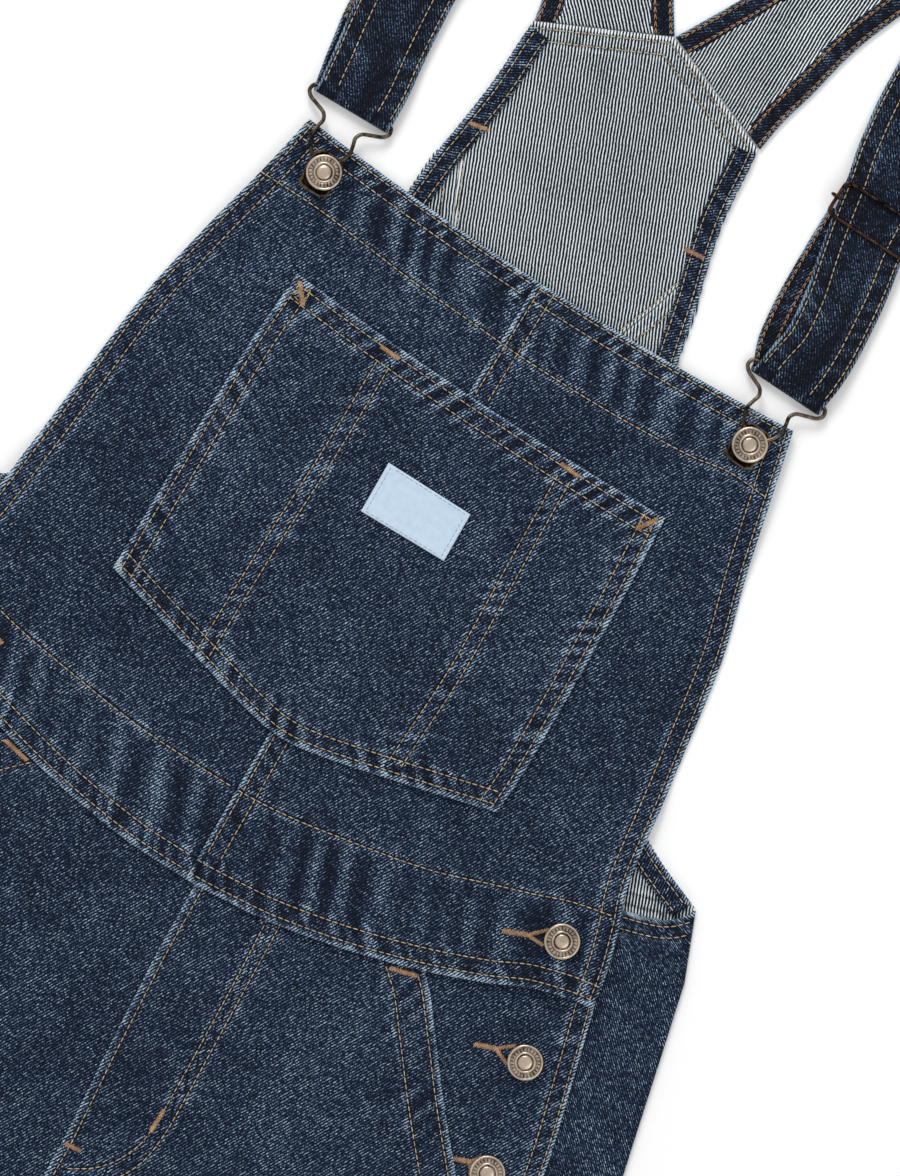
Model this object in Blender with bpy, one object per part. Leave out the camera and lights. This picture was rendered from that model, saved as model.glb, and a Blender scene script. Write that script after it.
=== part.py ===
"""Denim bib overalls, laid flat and face up, one solid for each piece that is cut and sewn.

Sizes are in millimetres. X runs to the wearer's left, Y from the hems to the straps, Z up from
the surface that the garment lies on. The tables are measured from the lower edge of the waist
seam at the centre front, and LAY_CENTRE brings the middle of the garment to the origin.
"""

import math
from collections import namedtuple

import bmesh
import bpy
import numpy as np
from mathutils import Vector

MM = 0.001

# Driving dimensions
HEM_Y = -1040.0
CROTCH_Y = -285.0
SHOULDER_Y = 632.0
LAY_CENTRE = (0.0, -201.03)

DENIM = 1.2
FACING = 1.0
LABEL = 1.0
STRAP = 1.6
GAP = 0.3
SEAM_HALF_GAP = 0.15
CURL_HALF_GAP = 0.42

# Heights of the middle of each layer above the surface
BACK_Z = 0.6
ARMHOLE_Z = 2.0
WRAP_Z = 2.5
FACING_Z = 4.0
FRONT_Z = 5.5
BIB_LAP_Z = 7.0
BIB_Z = 4.0
ON_BIB = DENIM + GAP
POCKET_Z = BIB_Z + ON_BIB
LABEL_Z = POCKET_Z + DENIM / 2 + GAP + LABEL / 2
LABEL_CORNERS = ((-20.0, 186.0), (25.0, 185.0), (25.0, 210.0), (-20.0, 212.0))

# The bib rests on the surface beyond the back, but its top corners are held up by the buttons
SIDE_DROP = BIB_Z - BACK_Z
SIDE_DROP_START = 108.0
SIDE_DROP_WIDTH = 26.0
SIDE_DROP_MARGIN = 4.0
SIDE_DROP_TOP = (230.0, 290.0)
SIDE_DROP_BOTTOM = 119.0

# Points across each piece's grid
BIB_COLUMNS = 13
POCKET_COLUMNS = 17
LEG_COLUMNS = 10
SIDE_COLUMNS = 7
FOLD_STEPS = 4
WRAP_STEPS = 3
STRAP_COLUMNS = 5
RISE_SHARES = (0.2, 0.4, 0.6, 0.8, 1.0)

BUTTON_RADIUS = 8.5
WIRE_RADIUS = 0.95
SLIDE_RADIUS = 0.9
BAR_RADIUS = 0.8

# How far the waist seam has risen at each distance from the centre front
Rise = namedtuple("Rise", "x rise")
WAIST_RISE = (
    Rise(0.0, 0.0),
    Rise(30.0, 1.4),
    Rise(60.0, 5.5),
    Rise(100.0, 14.5),
    Rise(140.0, 27.5),
    Rise(160.0, 36.0),
    Rise(188.5, 41.0),
    Rise(300.0, 41.0),
)

# Bib: each row is a line across it, at y on the centre, with a tilt, a share of the waist
# seam's curve, the x of its two ends and the height of its middle
BibRow = namedtuple("BibRow", "y tilt bow left right level")
BIB_ROWS = (
    BibRow(-3.0, 0.003, 1.0, -188.5, 188.5, BIB_LAP_Z),
    BibRow(9.0, 0.004, 1.0, -187.0, 187.0, BIB_LAP_Z),
    BibRow(36.0, 0.012, 0.97, -179.5, 180.5, BIB_LAP_Z),
    BibRow(54.0, 0.0, 0.92, -176.5, 176.0, 5.6),
    BibRow(70.0, -0.008, 0.85, -173.5, 173.6, BIB_Z),
    BibRow(110.0, -0.02, 0.68, -168.5, 170.2, BIB_Z),
    BibRow(150.0, -0.03, 0.53, -164.3, 166.4, BIB_Z),
    BibRow(200.0, -0.04, 0.39, -158.5, 160.8, BIB_Z),
    BibRow(250.0, -0.05, 0.3, -148.0, 150.0, BIB_Z),
    BibRow(288.0, -0.05, 0.27, -138.5, 142.3, BIB_Z),
    BibRow(319.5, -0.054, 0.24, -131.5, 136.0, BIB_Z),
)

Seam = namedtuple("Seam", "y x")
BIB_SEAM = (
    Seam(-10.0, -6.0),
    Seam(76.0, -6.0),
    Seam(262.0, -4.0),
    Seam(330.0, -1.5),
)

# Bib pocket: the same kind of rows, with a point at the bottom
PocketRow = namedtuple("PocketRow", "y tilt bow vee left right")
POCKET_ROWS = (
    PocketRow(76.0, -0.045, 0.0, 0.27, -107.0, 104.5),
    PocketRow(104.0, -0.048, 0.03, 0.22, -106.4, 106.2),
    PocketRow(150.0, -0.055, 0.08, 0.14, -105.5, 106.5),
    PocketRow(205.0, -0.062, 0.14, 0.06, -104.3, 106.0),
    PocketRow(257.5, -0.068, 0.2, 0.0, -100.5, 104.5),
)
VEE_ROUNDING = 15.0

# Front leg: rows from the seam under the bib to the hem. The outer end follows the pocket
# edge and then the outseam. curl is 1 where the inner end is the inseam
LegRow = namedtuple("LegRow", "y bow inner outer curl")
LEG_ROWS = (
    LegRow(HEM_Y, 0.0, 38.0, 253.0, 1.0),
    LegRow(-920.0, 0.0, 35.5, 252.6, 1.0),
    LegRow(-800.0, 0.0, 33.0, 252.0, 1.0),
    LegRow(-690.0, 0.0, 30.5, 250.2, 1.0),
    LegRow(-590.0, 0.0, 27.8, 247.6, 1.0),
    LegRow(-490.0, 0.0, 23.5, 244.5, 1.0),
    LegRow(-400.0, 0.0, 17.5, 241.0, 1.0),
    LegRow(-330.0, 0.0, 10.0, 238.0, 1.0),
    LegRow(-300.0, 0.0, 5.0, 235.6, 0.8),
    LegRow(CROTCH_Y, 0.0, 0.8, 234.2, 0.0),
    LegRow(-240.0, 0.0, 0.0, 230.0, 0.0),
    LegRow(-190.0, 0.0, 0.0, 224.3, 0.0),
    LegRow(-150.0, 0.0, 0.0, 218.6, 0.0),
    LegRow(-127.0, 0.03, 0.0, 214.0, 0.0),
    LegRow(-112.0, 0.1, 0.0, 203.0, 0.0),
    LegRow(-93.0, 0.2, 0.0, 190.0, 0.0),
    LegRow(-72.0, 0.3, 0.0, 172.0, 0.0),
    LegRow(-55.0, 0.45, 0.0, 155.0, 0.0),
    LegRow(-25.0, 0.7, 0.0, 131.0, 0.0),
    LegRow(-4.0, 1.0, 0.0, 113.0, 0.0),
    LegRow(7.0, 1.0, 0.0, 104.0, 0.0),
)

# Side piece with the placket: it lies under the pocket edge, on the back's button stand
SideRow = namedtuple("SideRow", "y bow inner outer")
SIDE_ROWS = (
    SideRow(-127.0, 0.03, 200.0, 215.6),
    SideRow(-112.0, 0.1, 188.0, 214.5),
    SideRow(-93.0, 0.2, 172.0, 213.0),
    SideRow(-72.0, 0.3, 154.0, 210.2),
    SideRow(-55.0, 0.45, 137.0, 206.8),
    SideRow(-25.0, 0.7, 113.0, 197.6),
    SideRow(-4.0, 1.0, 95.0, 189.5),
    SideRow(7.0, 1.0, 86.0, 187.0),
)

CENTRE_FRONT = (
    Seam(CROTCH_Y, 6.0),
    Seam(-135.0, 5.0),
    Seam(-90.0, 2.0),
    Seam(-40.0, -0.5),
    Seam(20.0, -1.0),
)

# Back: rows from the hem to the waist. side is the fold of the flat garment and wrap the end
# of the cloth that comes round it to the front, at the height of its middle
BackRow = namedtuple("BackRow", "y inner side wrap level curl")
BACK_ROWS = (
    BackRow(HEM_Y, 38.0, 268.0, 253.3, FRONT_Z, 1.0),
    BackRow(-920.0, 35.5, 270.2, 252.9, FRONT_Z, 1.0),
    BackRow(-800.0, 33.0, 272.0, 252.3, FRONT_Z, 1.0),
    BackRow(-690.0, 30.5, 274.4, 250.5, FRONT_Z, 1.0),
    BackRow(-590.0, 27.8, 276.3, 247.9, FRONT_Z, 1.0),
    BackRow(-490.0, 23.5, 277.8, 244.8, FRONT_Z, 1.0),
    BackRow(-400.0, 17.5, 278.0, 241.3, FRONT_Z, 1.0),
    BackRow(-330.0, 10.0, 277.0, 238.3, FRONT_Z, 1.0),
    BackRow(-300.0, 5.0, 275.7, 235.9, FRONT_Z, 0.8),
    BackRow(CROTCH_Y, 0.8, 275.0, 234.5, FRONT_Z, 0.0),
    BackRow(-240.0, 0.0, 272.4, 230.4, FRONT_Z, 0.0),
    BackRow(-190.0, 0.0, 267.8, 224.8, FRONT_Z, 0.0),
    BackRow(-150.0, 0.0, 263.0, 219.2, FRONT_Z, 0.0),
    BackRow(-127.0, 0.0, 260.0, 216.6, 5.0, 0.0),
    BackRow(-88.0, 0.0, 252.8, 214.6, WRAP_Z, 0.0),
    BackRow(-80.0, 0.0, 251.3, 168.0, WRAP_Z, 0.0),
    BackRow(-40.0, 0.0, 243.6, 160.0, WRAP_Z, 0.0),
    BackRow(0.0, 0.0, 235.0, 153.0, WRAP_Z, 0.0),
    BackRow(40.0, 0.0, 226.5, 145.0, WRAP_Z, 0.0),
    BackRow(70.0, 0.0, 220.0, 140.0, WRAP_Z, 0.0),
)

# Top edge of the back: the curved yoke seam, then the armhole down to the side fold
Edge = namedtuple("Edge", "x y")
YOKE_SEAM = (
    Edge(0.0, 262.0),
    Edge(24.0, 275.0),
    Edge(38.0, 300.0),
    Edge(47.0, 322.0),
    Edge(53.0, 335.0),
    Edge(60.5, 352.0),
)
ARMHOLE = (
    Edge(69.7, 352.0),
    Edge(75.0, 318.0),
    Edge(81.0, 280.0),
    Edge(92.0, 240.0),
    Edge(110.0, 195.0),
    Edge(135.0, 155.0),
    Edge(173.0, 119.0),
    Edge(205.5, 103.5),
)
YOKE_SIDE = (
    Edge(69.7, 352.0),
    Edge(67.5, 362.0),
    Edge(65.0, 375.0),
    Edge(63.0, 388.0),
    Edge(62.0, 400.0),
    Edge(61.4, 413.0),
    Edge(60.3, 424.0),
)
FOLD_TOP = [
    Edge(206.7, 102.6),
    Edge(207.2, 101.8),
    Edge(206.7, 100.6),
    Edge(205.8, 98.6),
    Edge(198.0, 91.5),
    Edge(176.0, 85.0),
    Edge(140.0, 79.0),
]
YOKE_PEAK = 450.0
ARMHOLE_FACING_WIDTH = 11.0
ARMHOLE_FACING_END = (198.0, 107.1)
SWAY = 3.5
SWAY_START = 280.0
SWAY_LENGTH = 110.0

# Back strap of the wearer's left side: the middle of each row, half its width along the row
# and the row's angle to X
StrapRow = namedtuple("StrapRow", "x y z half angle arch")
BACK_STRAP_ROWS = (
    StrapRow(30.4, 437.6, 0.8, 32.8, -23.3, 0.0),
    StrapRow(35.9, 452.0, 0.8, 30.0, -24.0, 0.0),
    StrapRow(43.8, 470.5, 0.8, 27.5, -23.0, 0.0),
    StrapRow(51.2, 489.0, 0.8, 24.7, -22.0, 0.0),
    StrapRow(60.0, 507.0, 0.8, 22.4, -22.0, 0.0),
    StrapRow(84.0, 560.0, 0.8, 21.5, -23.0, 0.0),
    StrapRow(103.0, 601.0, 0.8, 21.6, -18.0, 0.0),
    StrapRow(117.3, SHOULDER_Y - 1.4, 0.8, 22.0, -12.0, 0.0),
)
BACK_STRAP_CENTRE = -3.0

# Front strap, from the shoulder down to the hook
FRONT_STRAP_RIGHT = (
    StrapRow(115.9, SHOULDER_Y - 5.0, 3.6, 22.0, -12.0, 0.0),
    StrapRow(115.6, 605.0, 3.2, 21.6, -7.0, 0.0),
    StrapRow(115.2, 570.0, 2.8, 21.5, -2.0, 0.0),
    StrapRow(115.0, 535.0, 2.8, 21.5, 0.0, 0.0),
    StrapRow(114.9, 503.0, 1.1, 21.5, 0.0, 0.5),
    StrapRow(115.0, 478.0, 1.2, 21.3, 0.0, 0.5),
    StrapRow(117.2, 450.0, 3.0, 21.0, -1.0, 0.3),
    StrapRow(119.8, 432.0, 4.6, 20.4, -3.0, 0.0),
    StrapRow(121.6, 412.0, 4.6, 19.3, -3.0, 0.0),
    StrapRow(124.3, 395.0, 3.6, 18.8, -1.0, 2.6),
    StrapRow(126.8, 377.0, 3.4, 17.7, 0.0, 5.2),
    StrapRow(127.8, 360.0, 3.8, 17.4, 0.0, 6.2),
    StrapRow(126.0, 345.0, 5.1, 18.4, -2.0, 3.6),
    StrapRow(124.3, 334.6, 5.2, 18.5, -4.0, 0.0),
)
RETURN_STRAP_RIGHT = (
    StrapRow(123.4, 334.6, 0.8, 19.0, -4.0, 0.0),
    StrapRow(120.4, 352.0, 0.8, 20.6, 0.0, 0.0),
    StrapRow(119.0, 375.0, 0.8, 20.7, 0.0, 0.0),
    StrapRow(119.0, 398.0, 0.8, 20.6, 0.0, 0.0),
    StrapRow(119.4, 418.0, 0.8, 20.4, 0.0, 0.0),
)
FRONT_STRAP_LEFT = (
    StrapRow(-121.9, SHOULDER_Y - 5.0, 3.6, 22.0, 12.0, 0.0),
    StrapRow(-122.0, 605.0, 3.2, 21.6, 7.0, 0.0),
    StrapRow(-122.2, 570.0, 2.8, 21.5, 2.0, 0.0),
    StrapRow(-122.4, 535.0, 2.8, 21.5, 0.0, 0.0),
    StrapRow(-122.6, 505.0, 1.1, 21.5, 0.0, 0.5),
    StrapRow(-122.6, 486.0, 1.2, 21.5, 0.0, 0.5),
    StrapRow(-122.2, 464.0, 3.0, 21.2, 0.0, 0.3),
    StrapRow(-121.9, 446.0, 4.6, 20.8, 0.0, 0.0),
    StrapRow(-121.4, 426.0, 4.6, 20.8, 0.0, 0.0),
    StrapRow(-120.5, 405.0, 3.4, 20.7, 0.0, 1.2),
    StrapRow(-118.9, 382.0, 3.2, 20.5, -1.0, 2.0),
    StrapRow(-117.0, 364.0, 4.5, 20.4, -2.0, 1.2),
    StrapRow(-116.2, 347.8, 5.2, 19.6, -1.0, 0.0),
)
RETURN_STRAP_LEFT = (
    StrapRow(-117.4, 347.8, 0.8, 20.0, -1.0, 0.0),
    StrapRow(-119.4, 366.0, 0.8, 20.8, 0.0, 0.0),
    StrapRow(-122.0, 390.0, 0.8, 20.8, 0.0, 0.0),
    StrapRow(-122.0, 412.0, 0.8, 20.8, 0.0, 0.0),
    StrapRow(-122.0, 432.0, 0.8, 20.6, 0.0, 0.0),
)
SHOULDER_ROLL = 1.4
SHOULDER_TURN = 4.2
HOOK_ROLL = 2.2
ROLL_STEPS = 6

# Each bib fastening: its button, the turn and shift of its hook, and its slide
Fastening = namedtuple("Fastening", "name x y turn shift slide_x slide_y slide_turn")
FASTENINGS = (
    Fastening("left", -113.0, 314.0, 0.0, -4.0, -121.7, 436.0, 1.0),
    Fastening("right", 121.5, 302.5, -5.5, -1.0, 120.9, 422.0, -3.0),
)
PLATE_Z = 4.9
PLATE_THICKNESS = 0.9
PLATE_CENTRING = 0.75
BIB_BUTTON_Z = PLATE_Z + PLATE_THICKNESS + GAP
HOOK_BAR_Z = 3.0
HOOK_LOW_Z = BIB_BUTTON_Z + WIRE_RADIUS
SLIDE_FRAME_Z = 6.65
SLIDE_BAR_Z = 2.75

# Half of the hook's wire, from its end on the plate to the bar inside the strap
WirePoint = namedtuple("WirePoint", "x y lift")
HOOK_WIRE = (
    WirePoint(5.2, 5.0, 1.0),
    WirePoint(8.4, 9.0, 1.0),
    WirePoint(10.0, 14.0, 1.0),
    WirePoint(9.3, 18.0, 0.85),
    WirePoint(8.6, 21.0, 0.72),
    WirePoint(10.0, 24.0, 0.58),
    WirePoint(15.0, 26.3, 0.38),
    WirePoint(19.6, 28.3, 0.2),
    WirePoint(21.4, 31.0, 0.05),
    WirePoint(20.6, 33.6, 0.0),
    WirePoint(17.5, 34.6, 0.0),
    WirePoint(0.0, 34.6, 0.0),
)
PLATE_OUTLINE = (
    Edge(-8.2, 6.0),
    Edge(-5.0, 9.5),
    Edge(5.0, 9.5),
    Edge(8.2, 6.0),
    Edge(8.2, -3.5),
    Edge(7.4, -6.5),
    Edge(8.0, -8.6),
    Edge(4.6, -11.0),
    Edge(-4.6, -11.0),
    Edge(-8.0, -8.6),
    Edge(-7.4, -6.5),
    Edge(-8.2, -3.5),
)
SLIDE_HALF = Edge(21.4, 8.6)
SLIDE_CORNER = 2.6
SlideEye = namedtuple("SlideEye", "x z")
SLIDE_EYE = (
    SlideEye(15.0, SLIDE_BAR_Z),
    SlideEye(21.4, 3.1),
    SlideEye(23.6, 4.5),
    SlideEye(23.9, 6.4),
    SlideEye(22.9, 8.0),
    SlideEye(21.2, 8.6),
    SlideEye(19.4, 7.9),
    SlideEye(18.9, 7.0),
)

SideButton = namedtuple("SideButton", "x y z")
SIDE_BUTTONS = (
    SideButton(160.5, 59.0, BIB_LAP_Z + DENIM / 2 + GAP),
    SideButton(173.7, 1.5, FACING_Z + DENIM / 2 + GAP),
    SideButton(184.0, -52.0, FACING_Z + DENIM / 2 + GAP),
)

# Half section of a shank button's head, above the shank
Turned = namedtuple("Turned", "radius z")
SHANK_RADIUS = 2.4
SIDE_SHANK = 1.0
BIB_SHANK = 2.3
BUTTON_HEAD = (
    Turned(7.6, 0.0),
    Turned(BUTTON_RADIUS, 0.7),
    Turned(BUTTON_RADIUS, 1.4),
    Turned(7.8, 2.1),
    Turned(4.9, 2.1),
    Turned(4.4, 1.6),
    Turned(3.2, 1.7),
    Turned(2.8, 2.3),
    Turned(0.0, 2.6),
)
BUTTON_STEPS = 16

# Soft folds of the legs: middle, half length, half width, angle and height
Fold = namedtuple("Fold", "x y length width angle height")
LEG_FOLDS = (
    Fold(70.0, -235.0, 60.0, 13.0, 20.0, 1.1),
    Fold(85.0, -275.0, 70.0, 14.0, 12.0, 1.2),
    Fold(120.0, -345.0, 75.0, 16.0, 4.0, 0.9),
    Fold(140.0, -560.0, 70.0, 18.0, -14.0, 1.0),
    Fold(150.0, -625.0, 80.0, 18.0, 8.0, 1.2),
    Fold(135.0, -690.0, 70.0, 20.0, 16.0, 0.9),
    Fold(155.0, -930.0, 70.0, 22.0, -10.0, 0.8),
)


def material(name, colour, roughness, metallic):
    finish = bpy.data.materials.new(name)
    finish.use_nodes = True
    shader = finish.node_tree.nodes["Principled BSDF"]
    shader.inputs["Base Color"].default_value = (*colour, 1.0)
    shader.inputs["Roughness"].default_value = roughness
    shader.inputs["Metallic"].default_value = metallic
    finish.diffuse_color = (*colour, 1.0)
    return finish


def ease(value):
    value = min(max(value, 0.0), 1.0)
    return value * value * (3.0 - 2.0 * value)


def flowing(rows, steps, keys=1):
    """The rows of a table with more between them, on a curve that never overshoots a row.

    The distance along the table is measured over its first columns, as many as keys says.
    """
    values = np.array(rows, dtype=float)
    spans = np.linalg.norm(np.diff(values[:, :keys], axis=0), axis=1)
    slopes = np.diff(values, axis=0) / spans[:, None]
    tangents = np.empty_like(values)
    tangents[0] = slopes[0]
    tangents[-1] = slopes[-1]
    for index in range(1, len(values) - 1):
        before, after = slopes[index - 1], slopes[index]
        same_way = before * after > 0
        weight_a = 2.0 * spans[index] + spans[index - 1]
        weight_b = spans[index] + 2.0 * spans[index - 1]
        safe_before = np.where(same_way, before, 1.0)
        safe_after = np.where(same_way, after, 1.0)
        mean = (weight_a + weight_b) / (weight_a / safe_before + weight_b / safe_after)
        tangents[index] = np.where(same_way, mean, 0.0)
    result = []
    for index, span in enumerate(spans):
        for step in range(steps):
            t = step / steps
            start_part = (1.0 + 2.0 * t) * (1.0 - t) ** 2
            end_part = t * t * (3.0 - 2.0 * t)
            result.append(
                start_part * values[index]
                + t * (1.0 - t) ** 2 * span * tangents[index]
                + end_part * values[index + 1]
                + t * t * (t - 1.0) * span * tangents[index + 1]
            )
    result.append(values[-1])
    return [type(rows[0])(*row) for row in result]


def read(table, at):
    """The second column of a short table, read between its rows."""
    first = [row[0] for row in table]
    second = [row[1] for row in table]
    return float(np.interp(at, first, second))


WAIST_RISE_FINE = flowing(WAIST_RISE, 6)


def waist_rise(x):
    return read(WAIST_RISE_FINE, abs(x))


def sway(y):
    """The upper back lies a little to the wearer's right."""
    return -SWAY * ease((y - SWAY_START) / SWAY_LENGTH)


def armhole_x(y):
    descending = [(edge.y, edge.x) for edge in reversed(ARMHOLE)]
    return read(descending, y)


def fold_height(x, y):
    total = 0.0
    for fold in LEG_FOLDS:
        angle = math.radians(fold.angle)
        across, along = x - fold.x, y - fold.y
        length = across * math.cos(angle) + along * math.sin(angle)
        width = along * math.cos(angle) - across * math.sin(angle)
        total += fold.height * math.exp(-((length / fold.length) ** 2) - (width / fold.width) ** 2)
    return total


def offset_line(points, distance):
    """A line moved sideways, to the left of its direction for a positive distance."""
    line = np.array(points, dtype=float)
    steps = np.diff(line, axis=0)
    steps /= np.linalg.norm(steps, axis=1)[:, None]
    sides = np.stack([-steps[:, 1], steps[:, 0]], axis=1)
    corners = np.vstack([sides[:1], (sides[:-1] + sides[1:]) / 2.0, sides[-1:]])
    lengths = np.sum(corners * corners, axis=1)
    return line + corners * (distance / lengths)[:, None]


def finish_object(name, bm, finish, smooth=True):
    for vert in bm.verts:
        vert.co = (vert.co - Vector((*LAY_CENTRE, 0.0))) * MM
    mesh = bpy.data.meshes.new(name)
    bm.to_mesh(mesh)
    bm.free()
    mesh.materials.append(finish)
    if smooth:
        mesh.shade_smooth()
        mesh.set_sharp_from_angle(angle=math.radians(40.0))
    thing = bpy.data.objects.new(name, mesh)
    bpy.context.scene.collection.objects.link(thing)
    return thing


def sheet(name, rows, wall, finish, mirrored=False):
    """A cloth wall round the middle surface that rows of points give, from low Y to high Y."""
    grid = np.array(rows, dtype=float)
    if mirrored:
        grid[:, :, 0] *= -1.0
        grid = grid[:, ::-1]
    up, across = grid.shape[0] - 1, grid.shape[1] - 1
    bm = bmesh.new()
    bmesh.ops.create_grid(bm, x_segments=across, y_segments=up, size=0.5)
    for vert in bm.verts:
        column = round((vert.co.x + 0.5) * across)
        row = round((vert.co.y + 0.5) * up)
        vert.co = grid[row, column]
    thing = finish_object(name, bm, finish)
    solid = thing.modifiers.new("Cloth wall", "SOLIDIFY")
    solid.thickness = wall * MM
    solid.offset = 0.0
    solid.use_even_offset = True
    solid.use_quality_normals = True
    return thing


def bib_height(x, y, level):
    """The bib lies on the back, and comes down to the surface outside the armhole."""
    if y < SIDE_DROP_BOTTOM:
        return level
    start = max(armhole_x(y) + SIDE_DROP_MARGIN, SIDE_DROP_START)
    low, high = SIDE_DROP_TOP
    share = ease((abs(x) - start) / SIDE_DROP_WIDTH) * ease((high - y) / (high - low))
    return level - SIDE_DROP * share


def row_y(row, x):
    return row.y + row.tilt * x + row.bow * waist_rise(x)


def make_bib(finish):
    rows = flowing(BIB_ROWS, 2)
    for side, name in ((-1, "bib_left"), (1, "bib_right")):
        grid = []
        for row in rows:
            seam = read(BIB_SEAM, row.y) + side * SEAM_HALF_GAP
            start, end = (row.left, seam) if side < 0 else (seam, row.right)
            line = []
            for x in np.linspace(start, end, BIB_COLUMNS):
                y = row_y(row, x)
                line.append((x, y, bib_height(x, y, row.level)))
            grid.append(line)
        sheet(name, grid, DENIM, finish)


def make_pocket(finish):
    grid = []
    for row in flowing(POCKET_ROWS, 2):
        line = []
        for x in np.linspace(row.left, row.right, POCKET_COLUMNS):
            vee = row.vee * (math.hypot(x, VEE_ROUNDING) - VEE_ROUNDING)
            line.append((x, row_y(row, x) + vee, POCKET_Z))
        grid.append(line)
    sheet("bib_pocket", grid, DENIM, finish)


def make_label(finish):
    bottom_left, bottom_right, top_right, top_left = (Vector(corner) for corner in LABEL_CORNERS)
    grid = []
    for up in np.linspace(0.0, 1.0, 3):
        left = bottom_left.lerp(top_left, up)
        right = bottom_right.lerp(top_right, up)
        grid.append([(*left.lerp(right, across), LABEL_Z) for across in np.linspace(0.0, 1.0, 5)])
    sheet("pocket_label", grid, LABEL, finish)


def curl_points(edge, level, curl, upward, steps=2):
    """Points round the quarter curl where a leg's inner edge meets the other half."""
    radius = (FRONT_Z - BACK_Z) / 2.0
    flat = 0.9 * radius
    turn = 1.0 if upward else -1.0
    points = []
    for step in range(steps):
        angle = math.pi / 2.0 * step / steps
        curled = radius * (1.0 - math.cos(angle))
        rise = radius * (1.0 - math.sin(angle)) - CURL_HALF_GAP * (1.0 - step / steps)
        x = edge + curl * curled + (1.0 - curl) * flat * step / steps
        points.append((x, level + turn * curl * rise))
    points.append((edge + curl * radius + (1.0 - curl) * flat, level))
    return points


def make_front_legs(finish):
    for side, name in ((-1, "front_leg_left"), (1, "front_leg_right")):
        grid = []
        for row in flowing(LEG_ROWS, 1):
            seam = side * read(CENTRE_FRONT, max(row.y, CROTCH_Y))
            if row.y < CROTCH_Y:
                seam *= max(1.0 - (CROTCH_Y - row.y) / 45.0, 0.0)
            edge = row.inner + seam + SEAM_HALF_GAP
            curl = curl_points(edge, FRONT_Z, row.curl, upward=False)
            line = [(x, row.y + row.bow * waist_rise(x), z) for x, z in curl]
            for x in np.linspace(curl[-1][0], row.outer, LEG_COLUMNS)[1:]:
                fade = ease((row.outer - x) / 40.0) * ease((-150.0 - row.y) / 60.0)
                height = FRONT_Z + fade * fold_height(x, row.y)
                line.append((x, row.y + row.bow * waist_rise(x), height))
            grid.append(line)
        sheet(name, grid, DENIM, finish, mirrored=side < 0)


def make_side_facings(finish):
    for side, name in ((-1, "side_facing_left"), (1, "side_facing_right")):
        grid = []
        for row in flowing(SIDE_ROWS, 1):
            line = []
            for x in np.linspace(row.inner, row.outer, SIDE_COLUMNS):
                line.append((x, row.y + row.bow * waist_rise(x), FACING_Z))
            grid.append(line)
        sheet(name, grid, DENIM, finish, mirrored=side < 0)


def back_section(row, flat_shares):
    """Points across one row of the back, round the side fold and on to the end of its wrap."""
    radius = (row.level - BACK_Z) / 2.0
    fold_x = row.side - DENIM / 2.0 - radius
    curl = curl_points(row.inner + SEAM_HALF_GAP, BACK_Z, row.curl, upward=True)
    start = curl[-1][0]
    points = list(curl)
    for share in flat_shares[1:]:
        points.append((start + (fold_x - start) * share, BACK_Z))
    for step in range(1, FOLD_STEPS + 1):
        angle = math.pi * step / FOLD_STEPS
        points.append((fold_x + radius * math.sin(angle), BACK_Z + radius * (1.0 - math.cos(angle))))
    for step in range(1, WRAP_STEPS + 1):
        points.append((fold_x + (row.wrap - fold_x) * step / WRAP_STEPS, row.level))
    return points


def make_back_legs(finish):
    """Rows up to the waist, then rows that rise in shares to the top edge."""
    seam = [(edge.x, edge.y) for edge in YOKE_SEAM]
    seam = [tuple(point) for point in offset_line(seam, -SEAM_HALF_GAP)]
    seam[0] = (SEAM_HALF_GAP, seam[0][1])
    top_edge = seam + [(edge.x, edge.y) for edge in ARMHOLE]
    flat_shares = np.linspace(0.0, 1.0, len(top_edge) - 2)
    for side, name in ((-1, "back_leg_left"), (1, "back_leg_right")):
        grid = []
        for row in flowing(BACK_ROWS, 1):
            section = back_section(row, flat_shares)
            grid.append([(x, row.y, z) for x, z in section])
        base = grid[-1]
        for share in RISE_SHARES:
            line = []
            for (x, y, z), (top_x, top_y) in zip(base, top_edge + FOLD_TOP):
                line.append((x + (top_x - x) * share, y + (top_y - y) * share, z))
            grid.append(line)
        for line in grid:
            line[:] = [(x + side * sway(y), y, z) for x, y, z in line]
        sheet(name, grid, DENIM, finish, mirrored=side < 0)


def make_yoke(finish):
    seam = offset_line([(edge.x, edge.y) for edge in YOKE_SEAM], SEAM_HALF_GAP)
    right = [tuple(point) for point in seam[1:]] + [(YOKE_SIDE[0].x, YOKE_SIDE[0].y + GAP)]
    bottom = [(-x, y) for x, y in reversed(right)] + [(0.0, seam[0][1])] + right
    half_top = YOKE_SIDE[-1].x
    top_low = YOKE_SIDE[-1].y
    sides = [(edge.y, edge.x) for edge in YOKE_SIDE]
    grid = []
    for share in (0.0,) + RISE_SHARES:
        line = []
        for index, (x, y) in enumerate(bottom):
            top_x = half_top * x / bottom[-1][0]
            top_y = YOKE_PEAK - (YOKE_PEAK - top_low) * abs(top_x) / half_top
            new_y = y + (top_y - y) * share
            new_x = x + (top_x - x) * share
            if index in (0, len(bottom) - 1):
                new_x = math.copysign(read(sides, new_y), x)
            line.append((new_x + sway(new_y), new_y, BACK_Z))
        grid.append(line)
    sheet("back_yoke", grid, DENIM, finish)


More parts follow.
